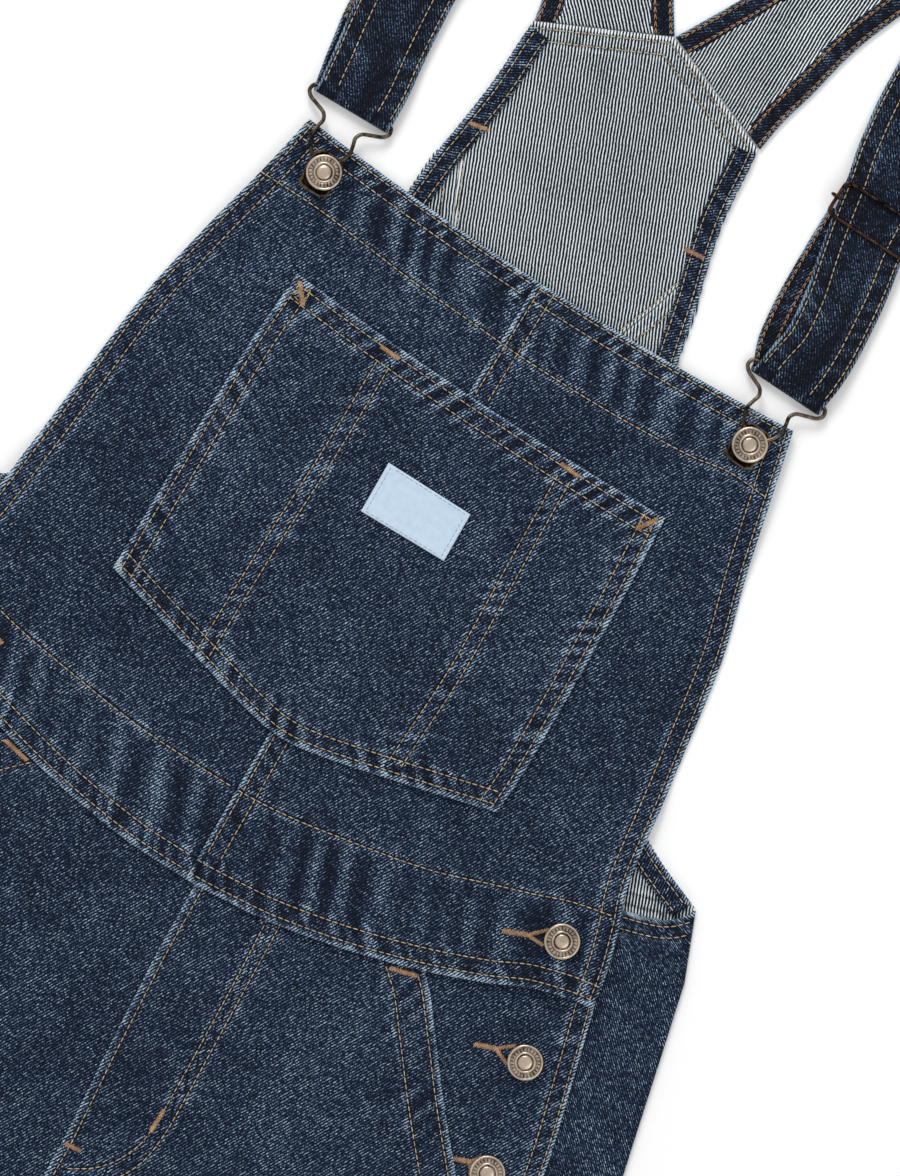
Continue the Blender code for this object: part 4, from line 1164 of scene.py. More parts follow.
def make_side_facings(spacing, count=56):
    rows_y = steps_of(SIDE_ROWS[0].y, SIDE_ROWS[-1].y, spacing)
    bow, inner, outer = table_at(SIDE_ROWS, rows_y)
    for side, name in ((-1, "side_facing_left"), (1, "side_facing_right")):
        x = inner[:, None] + (outer - inner)[:, None] * np.linspace(0.0, 1.0, count)
        y = rows_y[:, None] + bow[:, None] * waist_rise(x)
        places = np.stack([x, y, np.full(x.shape, FACING_Z)], axis=-1)
        marks, lift = sewn(x, y, [Hem(places[:, -1, :2], 2.2, 8.5, 0.7)], [], 81 + side)
        folds = ropes(y + 0.3 * x, x, 19.0, 0.0, 85 + side) * ease((y + 40.0) / 60.0)
        marks["wear"] = 0.12 + 0.28 * folds + 0.1 * drift(86, x / 20.0, y / 24.0)
        places = lifted(places, np.minimum(lift + 0.15 * folds, 0.75))
        if side < 0:
            places = mirrored(places)
            marks = {key: values[:, ::-1] for key, values in marks.items()}
        thing = cloth(name, places, planar(places), marks, DENIM,
                      [finish_named("face"), finish_named("reverse")])
        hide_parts(name)
        declare(planar(places))


CURL_NODES = 3
FOLD_NODES = 4


def indexed(points, places):
    """A line of points read at fractions of its numbering, on a flowing curve."""
    Node = namedtuple("Node", "number x y")
    nodes = [Node(float(index), *point) for index, point in enumerate(points)]
    fine = np.array(flowing(nodes, 10))
    return np.interp(places, fine[:, 0], fine[:, 1]), np.interp(places, fine[:, 0], fine[:, 2])


def back_top_edge():
    seam = offset_line(YOKE_SEAM, -SEAM_HALF_GAP)
    seam[0, 0] = SEAM_HALF_GAP
    return [Point(*point) for point in seam] + list(ARMHOLE)


def make_back_legs(spacing):
    top_edge = back_top_edge()
    corner = len(top_edge) - 1
    fold_end = corner + FOLD_NODES
    last = corner + len(FOLD_TOP)
    number = np.concatenate([
        np.linspace(0.0, corner, 4 * corner + 1)[:-1],
        np.linspace(corner, fold_end, 9)[:-1],
        np.linspace(fold_end, last, 25),
    ])
    rows_y = np.concatenate([
        steps_of(HEM_Y, -210.0, 4.0 * spacing)[:-1],
        steps_of(-210.0, BACK_ROWS[-1].y, 1.5 * spacing),
    ])
    inner, side_x, wrap, level, curl = (column[:, None] for column in table_at(BACK_ROWS, rows_y))
    radius = (level - BACK_Z) / 2.0
    fold_x = side_x - DENIM / 2.0 - radius
    curl_x, curl_z = curl_lines(inner[:, 0] + SEAM_HALF_GAP, BACK_Z, curl[:, 0], upward=True, steps=2)
    curl_at = np.arange(CURL_NODES)
    x = np.empty((len(rows_y), len(number)))
    z = np.empty_like(x)
    for row in range(len(rows_y)):
        x[row] = np.interp(number, curl_at, curl_x[row])
        z[row] = np.interp(number, curl_at, curl_z[row])
    flat = np.clip((number - CURL_NODES + 1.0) / (corner - CURL_NODES + 1.0), 0.0, 1.0)
    on_flat = (number > CURL_NODES - 1.0) & (number <= corner)
    start = curl_x[:, -1:]
    x = np.where(on_flat, start + (fold_x - start) * flat, x)
    z = np.where(on_flat, BACK_Z, z)
    angle = math.pi * np.clip((number - corner) / FOLD_NODES, 0.0, 1.0)
    on_fold = number > corner
    x = np.where(on_fold, fold_x + radius * np.sin(angle), x)
    z = np.where(on_fold, BACK_Z + radius * (1.0 - np.cos(angle)), z)
    on_wrap = number > fold_end
    x = np.where(on_wrap, fold_x + (wrap - fold_x) * (number - fold_end) / (last - fold_end), x)
    y = np.repeat(rows_y[:, None], len(number), axis=1)
    edge_x, edge_y = indexed(top_edge + list(FOLD_TOP), number)
    rise = steps_of(0.0, 1.0, 1.0 / 70.0)[1:, None]
    top_x = x[-1] + (edge_x - x[-1]) * rise
    top_y = y[-1] + (edge_y - y[-1]) * rise
    x = np.concatenate([x, top_x])
    y = np.concatenate([y, top_y])
    z = np.concatenate([z, np.repeat(z[-1:], len(rise), axis=0)])
    flat_u = np.zeros_like(x)
    flat_u[:, 1:] = np.cumsum(np.hypot(np.diff(x, axis=1), np.diff(z, axis=1)), axis=1)
    pattern = np.stack([flat_u, y], axis=-1)
    for side, name in ((-1, "back_leg_left"), (1, "back_leg_right")):
        swayed = x + side * sway(y)
        places = np.stack([swayed, y, z], axis=-1)
        on_top = number >= corner + 2.0
        seam_part = number <= len(YOKE_SEAM) - 1.0
        hole = (number >= len(YOKE_SEAM) - 0.5) & (number <= corner + 0.5)
        hems = [
            Hem(places[-1, on_top, :2], 3.2, 8.5, 0.6),
            Hem(places[-1, seam_part, :2], 6.0, FAR, 0.4),
            Hem(places[-1, hole, :2], 3.0, 9.0, 0.2),
            Hem(places[0, :, :2], 12.0, FAR, 0.5),
        ]
        marks, lift = sewn(swayed, y, hems, [], 91 + side)
        marks["wear"] = wear_and_shade_at(side * x, y) * 0.7
        places = lifted(places, np.where(number >= fold_end, lift * ease((number - fold_end) / 1.0), 0.0))
        cut = pattern
        if side < 0:
            places = mirrored(places)
            cut = pattern[:, ::-1] * np.array([-1.0, 1.0])
            marks = {key: values[:, ::-1] for key, values in marks.items()}
        thing = cloth(name, places, cut, marks, DENIM,
                      [finish_named("reverse"), finish_named("face")])
        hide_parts(name)
        declare(cut)


def make_yoke(spacing):
    seam = offset_line(YOKE_SEAM, SEAM_HALF_GAP)
    half = [Point(*point) for point in seam[1:]]
    half.append(Point(YOKE_SIDE[0].x, YOKE_SIDE[0].y + GAP))
    bottom = [Point(-point.x, point.y) for point in reversed(half)]
    bottom += [Point(0.0, seam[0][1])] + half
    count = int(round(130.0 / spacing))
    number = np.linspace(0.0, len(bottom) - 1.0, count)
    low_x, low_y = indexed(bottom, number)
    half_top, top_low = YOKE_SIDE[-1]
    top_x = half_top * low_x / bottom[-1].x
    top_y = YOKE_PEAK - (YOKE_PEAK - top_low) * np.abs(top_x) / half_top
    share = steps_of(0.0, 1.0, 1.0 / (110.0 / spacing))[:, None]
    x = low_x + (top_x - low_x) * share
    y = low_y + (top_y - low_y) * share
    sides = np.interp(y[:, -1], [edge.y for edge in YOKE_SIDE], [edge.x for edge in YOKE_SIDE])
    x = x * (sides / x[:, -1])[:, None] + sway(y)
    places = np.stack([x, y, np.full(x.shape, BACK_Z)], axis=-1)
    hems = [Hem(places[-1, :, :2], 3.0, 8.8, 0.55), Hem(places[0, :, :2], 1.5, FAR, 0.3)]
    marks, lift = sewn(x, y, hems, [], 121)
    # Broad lighter and darker patches: painted shade of soft wrinkles, with random tone.
    marks["wear"] = 0.35 * drift(122, x / 30.0, y / 34.0)
    lift = lift + 0.25 + 0.25 * drift(123, x / 40.0, y / 50.0)
    thing = cloth("back_yoke", lifted(places, np.minimum(lift, 0.8)), planar(places), marks, DENIM,
                  [finish_named("reverse"), finish_named("face")])
    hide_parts("back_yoke")
    declare(planar(places))


def make_armhole_facings(spacing):
    below, peak = YOKE_SIDE[-2:]
    top = Point(below.x + (peak.x - below.x) * FACING_REACH, below.y + (peak.y - below.y) * FACING_REACH)
    edge = [top] + [Point(*point) for point in reversed(YOKE_SIDE[:-1])]
    edge += list(ARMHOLE[1:-1]) + [ARMHOLE_FACING_END]
    insets = np.linspace(-ARMHOLE_FACING_WIDTH, -GAP, 9)
    lines = [offset_line(edge, inset) for inset in insets]
    for side, name in ((-1, "armhole_facing_left"), (1, "armhole_facing_right")):
        fine = []
        for line in lines:
            number = np.linspace(0.0, len(line) - 1.0, int(round(360.0 / spacing)))
            x, y = indexed([Point(*point) for point in line], number)
            fine.append(np.stack([x + side * sway(y), y], axis=-1))
        fine = np.array(fine)[::-1]
        x, y = fine[..., 0], fine[..., 1]
        hems = [Hem(fine[0], 3.0, 9.0, 0.5)]
        marks, lift = sewn(x, y, hems, [], 131 + side)
        marks["wear"] = np.full(x.shape, -0.4)
        places = np.stack([x, y, ARMHOLE_Z + np.minimum(lift, 0.3)], axis=-1)
        if side < 0:
            places = mirrored(places)
            marks = {key: values[:, ::-1] for key, values in marks.items()}
        length = arc(planar(places)[len(places) // 2])
        across = np.linspace(0.0, ARMHOLE_FACING_WIDTH - GAP, len(places))
        strip = np.stack(np.broadcast_arrays(length[None, :], across[:, None]), axis=-1)
        thing = cloth(name, places, strip, marks, FACING, [finish_named("face")])
        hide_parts(name)
        declare(strip)


STRAP_BAND = 10.5
STRAP_HEM = (2.1, 9.0)
CHAIN_ROWS = (1.8, 8.8)


def strap_lines(rows, shares):
    """Points across each row of a strap, with its middle raised by the arch."""
    table = np.array(rows, dtype=float)
    x, y, z, half, angle, arch = (column[:, None] for column in table.T)
    turn = np.radians(angle)
    return np.stack([
        x + shares * half * np.cos(turn),
        y + shares * half * np.sin(turn),
        z + arch * (1.0 - shares * shares),
    ], axis=-1)


def strap_turn(first, last, radius, top_first, steps):
    """Rows round a half turn of the strap, between two rows that lie on each other."""
    angle = math.radians(first.angle)
    away = (-math.sin(angle), math.cos(angle)) if top_first else (math.sin(angle), -math.cos(angle))
    rows = []
    for step in range(1, steps):
        turn = math.pi * step / steps
        share = step / steps
        reach = radius * math.sin(turn)
        middle = (first.z + last.z) / 2.0
        rows.append(StrapRow(
            first.x + (last.x - first.x) * share + away[0] * reach,
            first.y + (last.y - first.y) * share + away[1] * reach,
            middle + (first.z - middle) * math.cos(turn),
            first.half + (last.half - first.half) * share,
            first.angle,
            0.0,
        ))
    return rows


def strap_pattern(places, table, shares):
    """Across the strap and along it, as if it lay straight."""
    middle = places[:, places.shape[1] // 2]
    along = arc(middle)
    half = np.array(table, dtype=float)[:, 3:4]
    return np.stack([shares * half, np.repeat(along[:, None], places.shape[1], axis=1)], axis=-1)


def strap_marks(pattern, half, rows, pull, seed):
    """Marks of the two rows along each edge, at every place of a strap."""
    across, along = pattern[..., 0], pattern[..., 1]
    away = half - np.abs(across)
    edge = np.stack([away, np.full(away.shape, rows[0]), np.full(away.shape, rows[1])], axis=-1)
    waves = ropes(along, np.abs(across), 9.0, 0.5, seed) * np.where(across > 0.0, 1.0, -0.8)
    waves = waves * ease(away / 1.2) * np.exp(-np.maximum(away - rows[1], 0.0) / 3.5) * pull
    waves = waves + 0.35 * drift(seed + 3, across / 7.0, along / 26.0)
    groove = 0.25 * (np.exp(-((away - rows[0]) / 0.9) ** 2) + np.exp(-((away - rows[1]) / 0.9) ** 2))
    marks = {
        "edge": edge,
        "row": np.stack([np.full(away.shape, ROW_REACH), np.zeros(away.shape), np.zeros(away.shape)], axis=-1),
        "pucker": waves,
        "wear": 0.25 * drift(seed + 5, across / 12.0, along / 40.0),
    }
    return marks, 0.22 * waves - groove


def make_back_straps(spacing):
    shares = np.linspace(-1.0, 1.0, 47)
    rows = [StrapRow(*row) for row in even(BACK_STRAP_ROWS, spacing, keys=2)]
    for side, name in ((-1, "strap_back_left"), (1, "strap_back_right")):
        places = strap_lines(rows, shares)
        places[..., 0] = side * places[..., 0] + BACK_STRAP_CENTRE
        pattern = strap_pattern(places, rows, shares)
        half = np.array(rows)[:, 3:4]
        marks, lift = strap_marks(pattern, half, CHAIN_ROWS, 0.5, 141 + side)
        band = half - np.abs(pattern[..., 0]) < STRAP_BAND
        raised = np.where(band, 0.5, 0.0)
        places[..., 2] += 0.35 * lift + raised
        if side < 0:
            places = places[:, ::-1]
            pattern = pattern[:, ::-1] * np.array([-1.0, 1.0])
            marks = {key: values[:, ::-1] for key, values in marks.items()}
        finishes = [finish_named(key) for key in ("reverse", "face", "dark", "face")]
        thing = cloth(name, places, pattern, marks, STRAP - 0.4, finishes)
        shade_bands(thing)
        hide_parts(name)
        declare(pattern)


def shade_bands(thing):
    """The folded edges of a strap show unfaded cloth, and its middle the cloth's reverse."""
    mesh = thing.data
    edge = np.empty(len(mesh.vertices) * 3, dtype=np.float32)
    mesh.attributes["edge"].data.foreach_get("vector", edge)
    corner = np.empty(len(mesh.loops), dtype=np.int32)
    mesh.loops.foreach_get("vertex_index", corner)
    away = edge.reshape(-1, 3)[corner, 0].reshape(-1, 4).mean(axis=1)
    mesh.polygons.foreach_set("material_index", np.where(away < STRAP_BAND, 2, 0).astype(np.int32))
    mesh.update()


def make_front_straps(spacing):
    shares = np.linspace(-1.0, 1.0, 31)
    left = ("left", FRONT_STRAP_LEFT, RETURN_STRAP_LEFT)
    right = ("right", FRONT_STRAP_RIGHT, RETURN_STRAP_RIGHT)
    for name, front, back in (left, right):
        top = front[0]
        first = top._replace(y=top.y + SHOULDER_TURN)
        start = first._replace(z=STRAP / 2)
        rows = [start] + strap_turn(start, first, SHOULDER_ROLL, True, 8)
        rows += [StrapRow(*row) for row in even((first,) + front, spacing, keys=2)]
        rows += strap_turn(front[-1], back[0], HOOK_ROLL, False, 10)
        rows += [StrapRow(*row) for row in even(back, spacing, keys=2)]
        places = strap_lines(rows, shares)
        pattern = strap_pattern(places, rows, shares)
        pattern[..., 1] = arc_3d(places)[:, None]
        half = np.array(rows)[:, 3:4]
        marks, lift = strap_marks(pattern, half, STRAP_HEM, 0.7, 151 + len(name))
        on_front = np.arange(len(rows))[:, None]
        facing_up = (on_front > 8) & (on_front < len(rows) - len(even(back, spacing, keys=2)) - 10)
        places[..., 2] += np.where(facing_up, lift, 0.0)
        finishes = [finish_named("dark"), finish_named("dark")]
        thing = cloth("strap_front_" + name, places, pattern, marks, STRAP - 0.2, finishes)
        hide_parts("strap_front_" + name)
        declare(pattern)


def arc_3d(places):
    return arc(places[:, places.shape[1] // 2])


class Ground:
    """The top faces of some pieces, for laying sewing on."""

    def __init__(self, *names):
        depsgraph = bpy.context.evaluated_depsgraph_get()
        self.trees = [BVHTree.FromObject(PIECES[name], depsgraph) for name in names]

    def height(self, x, y):
        """The height of the cloth at a place on the garment, in millimetres."""
        start = Vector(((x - LAY_CENTRE[0]) * MM, (y - LAY_CENTRE[1]) * MM, 0.1))
        hits = [tree.ray_cast(start, Vector((0.0, 0.0, -1.0)))[0] for tree in self.trees]
        levels = [hit.z / MM for hit in hits if hit is not None]
        return max(levels) if levels else None


class Sewing:
    """Rows of stitches gathered into one mesh."""

    def __init__(self, name, finish, slot):
        self.name, self.finish, self.slot = name, finish, slot
        self.bm = bmesh.new()
        self.rng = np.random.default_rng(len(name))

    def stitches(self, points, ground, pitch=3.3, share=0.76, radius=0.3, depth=0.12, skip_ends=0.0):
        """A row of straight stitches along a line of points on the garment."""
        line = np.array(points, dtype=float)
        along = arc(line)
        count = int((along[-1] - 2.0 * skip_ends) / pitch)
        row = bmesh.new()
        for index in range(count):
            start = skip_ends + index * pitch + self.rng.uniform(-0.12, 0.12)
            end = start + pitch * share
            ends = [np.array([np.interp(at, along, line[:, 0]), np.interp(at, along, line[:, 1])])
                    for at in (start, end)]
            levels = [ground.height(*place) for place in ends]
            if None in levels:
                continue
            self.thread(row, (*ends[0], levels[0] + depth), (*ends[1], levels[1] + depth), radius)
        self.keep(row)

    def thread(self, bm, start, end, radius, flat=0.8):
        """One short length of thread between two points."""
        start, end = Vector(start), Vector(end)
        run = end - start
        turn = run.to_track_quat("X", "Z").to_matrix().to_4x4()
        size = Matrix.Diagonal((run.length / 2.0 + radius * 0.5, radius, radius * flat, 1.0))
        middle = (start + end) / 2.0 - Vector((*LAY_CENTRE, 0.0))
        place = Matrix.Scale(MM, 4) @ Matrix.Translation(middle) @ turn @ size
        bmesh.ops.create_uvsphere(bm, u_segments=5, v_segments=4, radius=1.0,
                                  matrix=place @ Matrix.Rotation(math.pi / 2.0, 4, "Y"))

    def keep(self, row):
        mesh = bpy.data.meshes.new("row")
        row.to_mesh(mesh)
        row.free()
        self.bm.from_mesh(mesh)
        bpy.data.meshes.remove(mesh)

    def tack(self, start, end, width, ground, threads=None, radius=0.3):
        """A bar tack: threads laid close together across the line from start to end."""
        start, end = np.array(start, dtype=float), np.array(end, dtype=float)
        run = end - start
        length = float(np.hypot(*run))
        side = np.array([-run[1], run[0]]) / length * width / 2.0
        count = threads or max(int(length / 0.62), 2)
        row = bmesh.new()
        for index in range(count):
            middle = start + run * (index + 0.5) / count
            level = ground.height(*middle)
            if level is None:
                continue
            skew = run / length * self.rng.uniform(0.1, 0.5)
            reach = side * self.rng.uniform(0.88, 1.08)
            self.thread(row, (*(middle - reach - skew), level + 0.22), (*(middle + reach + skew), level + 0.3),
                        radius, 1.0)
        self.keep(row)

    def chain(self, points, ground, pitch=3.3):
        """A row of chain stitches: pairs of threads that spread and meet like loops."""
        line = np.array(points, dtype=float)
        along = arc(line)
        row = bmesh.new()
        for index in range(int(along[-1] / pitch)):
            places = [index * pitch, (index + 0.86) * pitch]
            ends = [np.array([np.interp(at, along, line[:, 0]), np.interp(at, along, line[:, 1])])
                    for at in places]
            run = ends[1] - ends[0]
            length = float(np.hypot(*run))
            if length < 0.5:
                continue
            side = np.array([-run[1], run[0]]) / length
            levels = [ground.height(*place) for place in ends]
            if None in levels:
                continue
            for way in (-1.0, 1.0):
                low = ends[0] + side * way * 0.55
                high = ends[1] + side * way * 0.1
                self.thread(row, (*low, levels[0] + 0.15), (*high, levels[1] + 0.25), 0.21)
        self.keep(row)

    def done(self, smooth=True):
        mesh = bpy.data.meshes.new(self.name)
        self.bm.to_mesh(mesh)
        self.bm.free()
        if smooth:
            mesh.shade_smooth()
        return put(self.name, mesh, [finish_named(self.finish)])


def inset(points, distance, spacing=4.0):
    """A smooth line beside another one, to its left for a positive distance."""
    return offset_line(smoothed(points, spacing), distance)


def border(name, which):
    """One border of a piece of cloth, as points on the garment."""
    places = GRIDS[name][0]
    line = {"bottom": places[0], "top": places[-1], "left": places[:, 0], "right": places[:, -1]}[which]
    return line[:, :2]


def clipped(line, low, high):
    """The part of a line between two heights on the garment."""
    line = np.asarray(line)
    return line[(line[:, 1] >= low) & (line[:, 1] <= high)]


class Level:
    """A flat layer that something lies over, for sewing that a ray from above would miss."""

    def __init__(self, level, left=-1e9, right=1e9):
        self.level, self.left, self.right = level, left, right

    def height(self, x, y):
        return self.level if self.left <= x <= self.right else None


Buttonhole = namedtuple("Buttonhole", "tail fork high low")
BUTTONHOLES = (
    Buttonhole(Point(134.0, 49.5), Point(145.0, 53.5), Point(152.5, 60.5), Point(154.0, 53.0)),
    Buttonhole(Point(149.0, -3.0), Point(158.5, 0.2), Point(166.0, 6.0), Point(167.0, -3.5)),
    Buttonhole(Point(167.0, -54.0), Point(174.5, -51.5), Point(178.0, -47.0), Point(178.0, -57.0)),
)
Tack = namedtuple("Tack", "start end width pieces")
LEG_TACKS = (
    Tack(Point(97.0, 8.3), Point(110.5, 11.5), 2.4, ("front_leg_right",)),
    Tack(Point(-97.0, 8.3), Point(-110.5, 11.5), 2.4, ("front_leg_left",)),
    Tack(Point(39.0, -101.0), Point(38.5, -113.0), 2.2, ("front_leg_right",)),
    Tack(Point(6.5, -137.5), Point(15.0, -137.0), 2.2, ("front_leg_right",)),
)
POCKET_TACKS = (
    Tack(Point(-50.0, 257.2), Point(-39.5, 256.2), 2.2, ("bib_pocket",)),
    Tack(Point(49.5, 251.5), Point(60.0, 250.3), 2.2, ("bib_pocket",)),
    Tack(Point(-98.0, 264.8), Point(-91.0, 255.5), 2.4, ("bib_pocket",)),
    Tack(Point(101.8, 251.5), Point(95.2, 242.8), 2.4, ("bib_pocket",)),
)
CORNER_TRIANGLES = (
    (Point(-98.5, 258.0), Point(-91.0, 264.0), Point(-91.0, 255.5), Point(-98.5, 258.0)),
    (Point(102.0, 244.5), Point(94.5, 251.0), Point(95.2, 242.8), Point(102.0, 244.5)),
)
BACK_TACKS = (
    Tack(Point(-66.5, 368.0), Point(-56.5, 369.5), 2.2, ("armhole_facing_left", "back_yoke")),
    Tack(Point(60.0, 367.5), Point(50.0, 367.0), 2.2, ("armhole_facing_right", "back_yoke")),
)


def sew_bib(gold):
    bib = Ground("bib_left", "bib_right")
    for name, outer, way in (("bib_left", "left", -1.0), ("bib_right", "right", 1.0)):
        ground = Ground(name)
        for distance in (3.5, 10.5):
            gold.stitches(inset(border(name, "bottom"), distance), ground)
        for distance in (2.6, 9.0):
            gold.stitches(inset(border(name, "top"), -distance), ground)
        for distance in (3.0, 9.5):
            gold.stitches(inset(border(name, outer), way * distance), ground)
    ground = Ground("bib_right")
    centre = border("bib_right", "left")
    for distance in (3.0, 9.8):
        for low, high in ((12.0, 84.0), (256.0, 330.0)):
            gold.stitches(clipped(inset(centre, -distance), low, high), ground)
    gold.stitches(smoothed(BAND_LINE, 4.0), bib)
    gold.stitches(smoothed(WAISTBAND_LINE, 4.0), bib)


def sew_pocket(gold, copper):
    ground = Ground("bib_pocket")
    for distance in (3.5, 9.5):
        gold.stitches(inset(border("bib_pocket", "bottom"), distance), ground)
        gold.stitches(inset(border("bib_pocket", "left"), -distance), ground)
        gold.stitches(inset(border("bib_pocket", "right"), distance), ground)
    for distance in (4.0, 11.0):
        gold.stitches(inset(border("bib_pocket", "top"), -distance), ground)
    for line in (PENCIL_LEFT, PENCIL_RIGHT):
        for distance in (-PENCIL_HALF, PENCIL_HALF):
            gold.stitches(inset(line, distance), ground)
    for tack in POCKET_TACKS:
        copper.tack(tack.start, tack.end, tack.width, ground)
    for triangle in CORNER_TRIANGLES:
        copper.stitches(triangle, ground, pitch=3.0, share=0.9)


def sew_legs(gold, copper):
    for side, name, outer, inner in ((-1, "front_leg_left", "left", "right"),
                                     (1, "front_leg_right", "right", "left")):
        ground = Ground(name)
        edge = border(name, outer)
        for distance in (3.6, 16.5):
            gold.stitches(clipped(inset(edge, side * distance, 3.0), -122.0, 14.0), ground)
        seam = clipped(border(name, inner), HEM_Y, CROTCH_Y - 15.0)
        for distance in (5.0, 11.0):
            gold.stitches(inset(seam, -side * distance, 8.0), ground)
        gold.stitches(inset(border(name, "bottom"), 12.0), ground)
        facing = "side_facing_" + ("left" if side < 0 else "right")
        for distance in (2.2, 8.5):
            line = inset(border(facing, outer), side * distance, 3.0)
            gold.stitches(clipped(line, -118.0, 60.0), Ground(facing))
    ground = Ground("front_leg_right")
    gold.stitches(clipped(inset(border("front_leg_right", "left"), -4.0, 3.0), CROTCH_Y + 8.0, 4.0), ground)
    for line in (FLY_INNER, FLY_OUTER):
        gold.stitches(smoothed(line, 3.0), ground)
    for tack in LEG_TACKS:
        copper.tack(tack.start, tack.end, tack.width, Ground(*tack.pieces))


def sew_back(gold, copper):
    yoke = Ground("back_yoke")
    for distance in (3.0, 8.8):
        gold.stitches(inset(border("back_yoke", "top"), -distance), yoke)
    gold.stitches(inset(border("back_yoke", "bottom"), 1.5, 3.0), yoke)
    for side, end in ((-1, "left"), (1, "right")):
        name = "back_leg_" + end
        places = GRIDS[name][0]
        top = places[-1]
        wrap = top[top[:, 2] > WRAP_Z - 0.6][:, :2]
        wrap = wrap[np.argsort(wrap[:, 0])]
        ground = Ground(name)
        for distance in (3.2, 8.5):
            gold.stitches(inset(wrap, -distance, 3.0), ground)
        seam = top[(top[:, 2] < BACK_Z + 0.1) & (top[:, 1] < 351.0) & (np.abs(top[:, 0]) < 62.0)][:, :2]
        seam = seam[np.argsort(seam[:, 1])]
        gold.stitches(inset(seam, -side * 6.0, 3.0), ground)
        hem = places[0]
        hem = hem[hem[:, 2] > FRONT_Z - 0.1][:, :2]
        gold.stitches(inset(hem[np.argsort(hem[:, 0])], 12.0), ground)
        facing = "armhole_facing_" + end
        outer = GRIDS[facing][0][0][:, :2]
        for distance in (3.0, 9.0):
            gold.stitches(inset(outer, -distance, 3.0), Ground(facing))
    for tack in BACK_TACKS:
        copper.tack(tack.start, tack.end, tack.width, Ground(*tack.pieces))


def strap_row(name, away, left_side, low=0.0, high=1.0):
    """A line along a strap at a distance from its left or right edge, between two shares of it."""
    places, pattern = GRIDS[name]
    count = len(places)
    line = []
    for row in range(int(low * (count - 1)), int(high * (count - 1)) + 1):
        across = pattern[row, :, 0]
        order = np.argsort(places[row, :, 0])
        from_left = across[order] if across[order][0] < across[order][-1] else -across[order]
        target = from_left[0] + away if left_side else from_left[-1] - away
        line.append((np.interp(target, from_left, places[row, order, 0]),
                     np.interp(target, from_left, places[row, order, 1])))
    return np.array(line)


def sew_straps(gold, copper):
    for end in ("left", "right"):
        name = "strap_back_" + end
        ground = Ground(name)
        for away in CHAIN_ROWS:
            for left_side in (True, False):
                copper.chain(strap_row(name, away, left_side), ground)
        name = "strap_front_" + end
        ground = Ground(name)
        front = FRONT_STRAP_LEFT if end == "left" else FRONT_STRAP_RIGHT
        for away in STRAP_HEM:
            for left_side in (True, False):
                line = strap_row(name, away, left_side, 0.03, 1.0)
                turn = int(np.argmin(line[:, 1]))
                gold.stitches(clipped(line[:turn], front[-1].y + 1.0, SHOULDER_Y), ground)
        line = strap_row(name, 1.8, True, 0.5, 1.0)
        turn = int(np.argmin(line[:, 1]))
        copper.chain(line[turn:], Level(1.75, right=front[-3].x - front[-3].half - 0.8))
        line = strap_row(name, 8.6, True, 0.5, 1.0)
        copper.chain(line[turn:], Level(1.75, right=front[-3].x - front[-3].half - 0.8))


def sew_buttonholes(copper):
    for side in (-1.0, 1.0):
        for hole, piece in zip(BUTTONHOLES, ("bib", "side_facing", "side_facing")):
            end = "left" if side < 0 else "right"
            ground = Ground(piece + "_" + end)
            tail, fork, high, low = ((side * point.x, point.y) for point in hole)
            copper.tack(tail, fork, 2.7, ground)
            copper.tack(fork, high, 1.9, ground)
            copper.tack(fork, low, 1.9, ground)


def sew_label(pale):
    ground = Ground("pocket_label")
    corners = [np.array(corner) for corner in LABEL_CORNERS]
    middle = sum(corners) / 4.0
    inner = [tuple(corner + (middle - corner) * 0.09) for corner in corners]
    for start, end in zip(inner, inner[1:] + inner[:1]):
        pale.stitches([start, end], ground, pitch=2.6, share=0.74, radius=0.16, depth=0.02)


Turned = namedtuple("Turned", "radius z worn")
# Half section of a button's head above its shank
BUTTON_HEAD = (
    Turned(7.5, 0.0, 0.1),
    Turned(8.2, 0.15, 0.3),
    Turned(BUTTON_RADIUS, 0.6, 0.5),
    Turned(BUTTON_RADIUS, 1.3, 0.9),
    Turned(8.25, 1.85, 1.0),
    Turned(7.85, 2.05, 1.0),
    Turned(7.5, 1.95, 0.6),
    Turned(7.25, 1.75, 0.05),
    Turned(6.85, 1.85, 0.35),
    Turned(6.4, 1.98, 0.5),
    Turned(5.9, 2.0, 0.5),
    Turned(5.4, 1.92, 0.35),
    Turned(5.05, 1.75, 0.0),
    Turned(4.75, 2.0, 0.7),
    Turned(4.45, 2.12, 1.0),
    Turned(4.1, 2.0, 0.7),
    Turned(3.8, 1.65, -0.1),
    Turned(3.5, 1.7, 0.1),
    Turned(3.3, 2.1, 0.6),
    Turned(2.9, 2.36, 0.9),
    Turned(2.0, 2.52, 1.0),
    Turned(1.0, 2.59, 1.0),
    Turned(0.0, 2.6, 1.0),
)
SHANK_RADIUS = 2.4
BUTTON_STEPS = 96
BUTTON_NOTCHES = 24
NOTCH_RING = (5.2, 7.1)


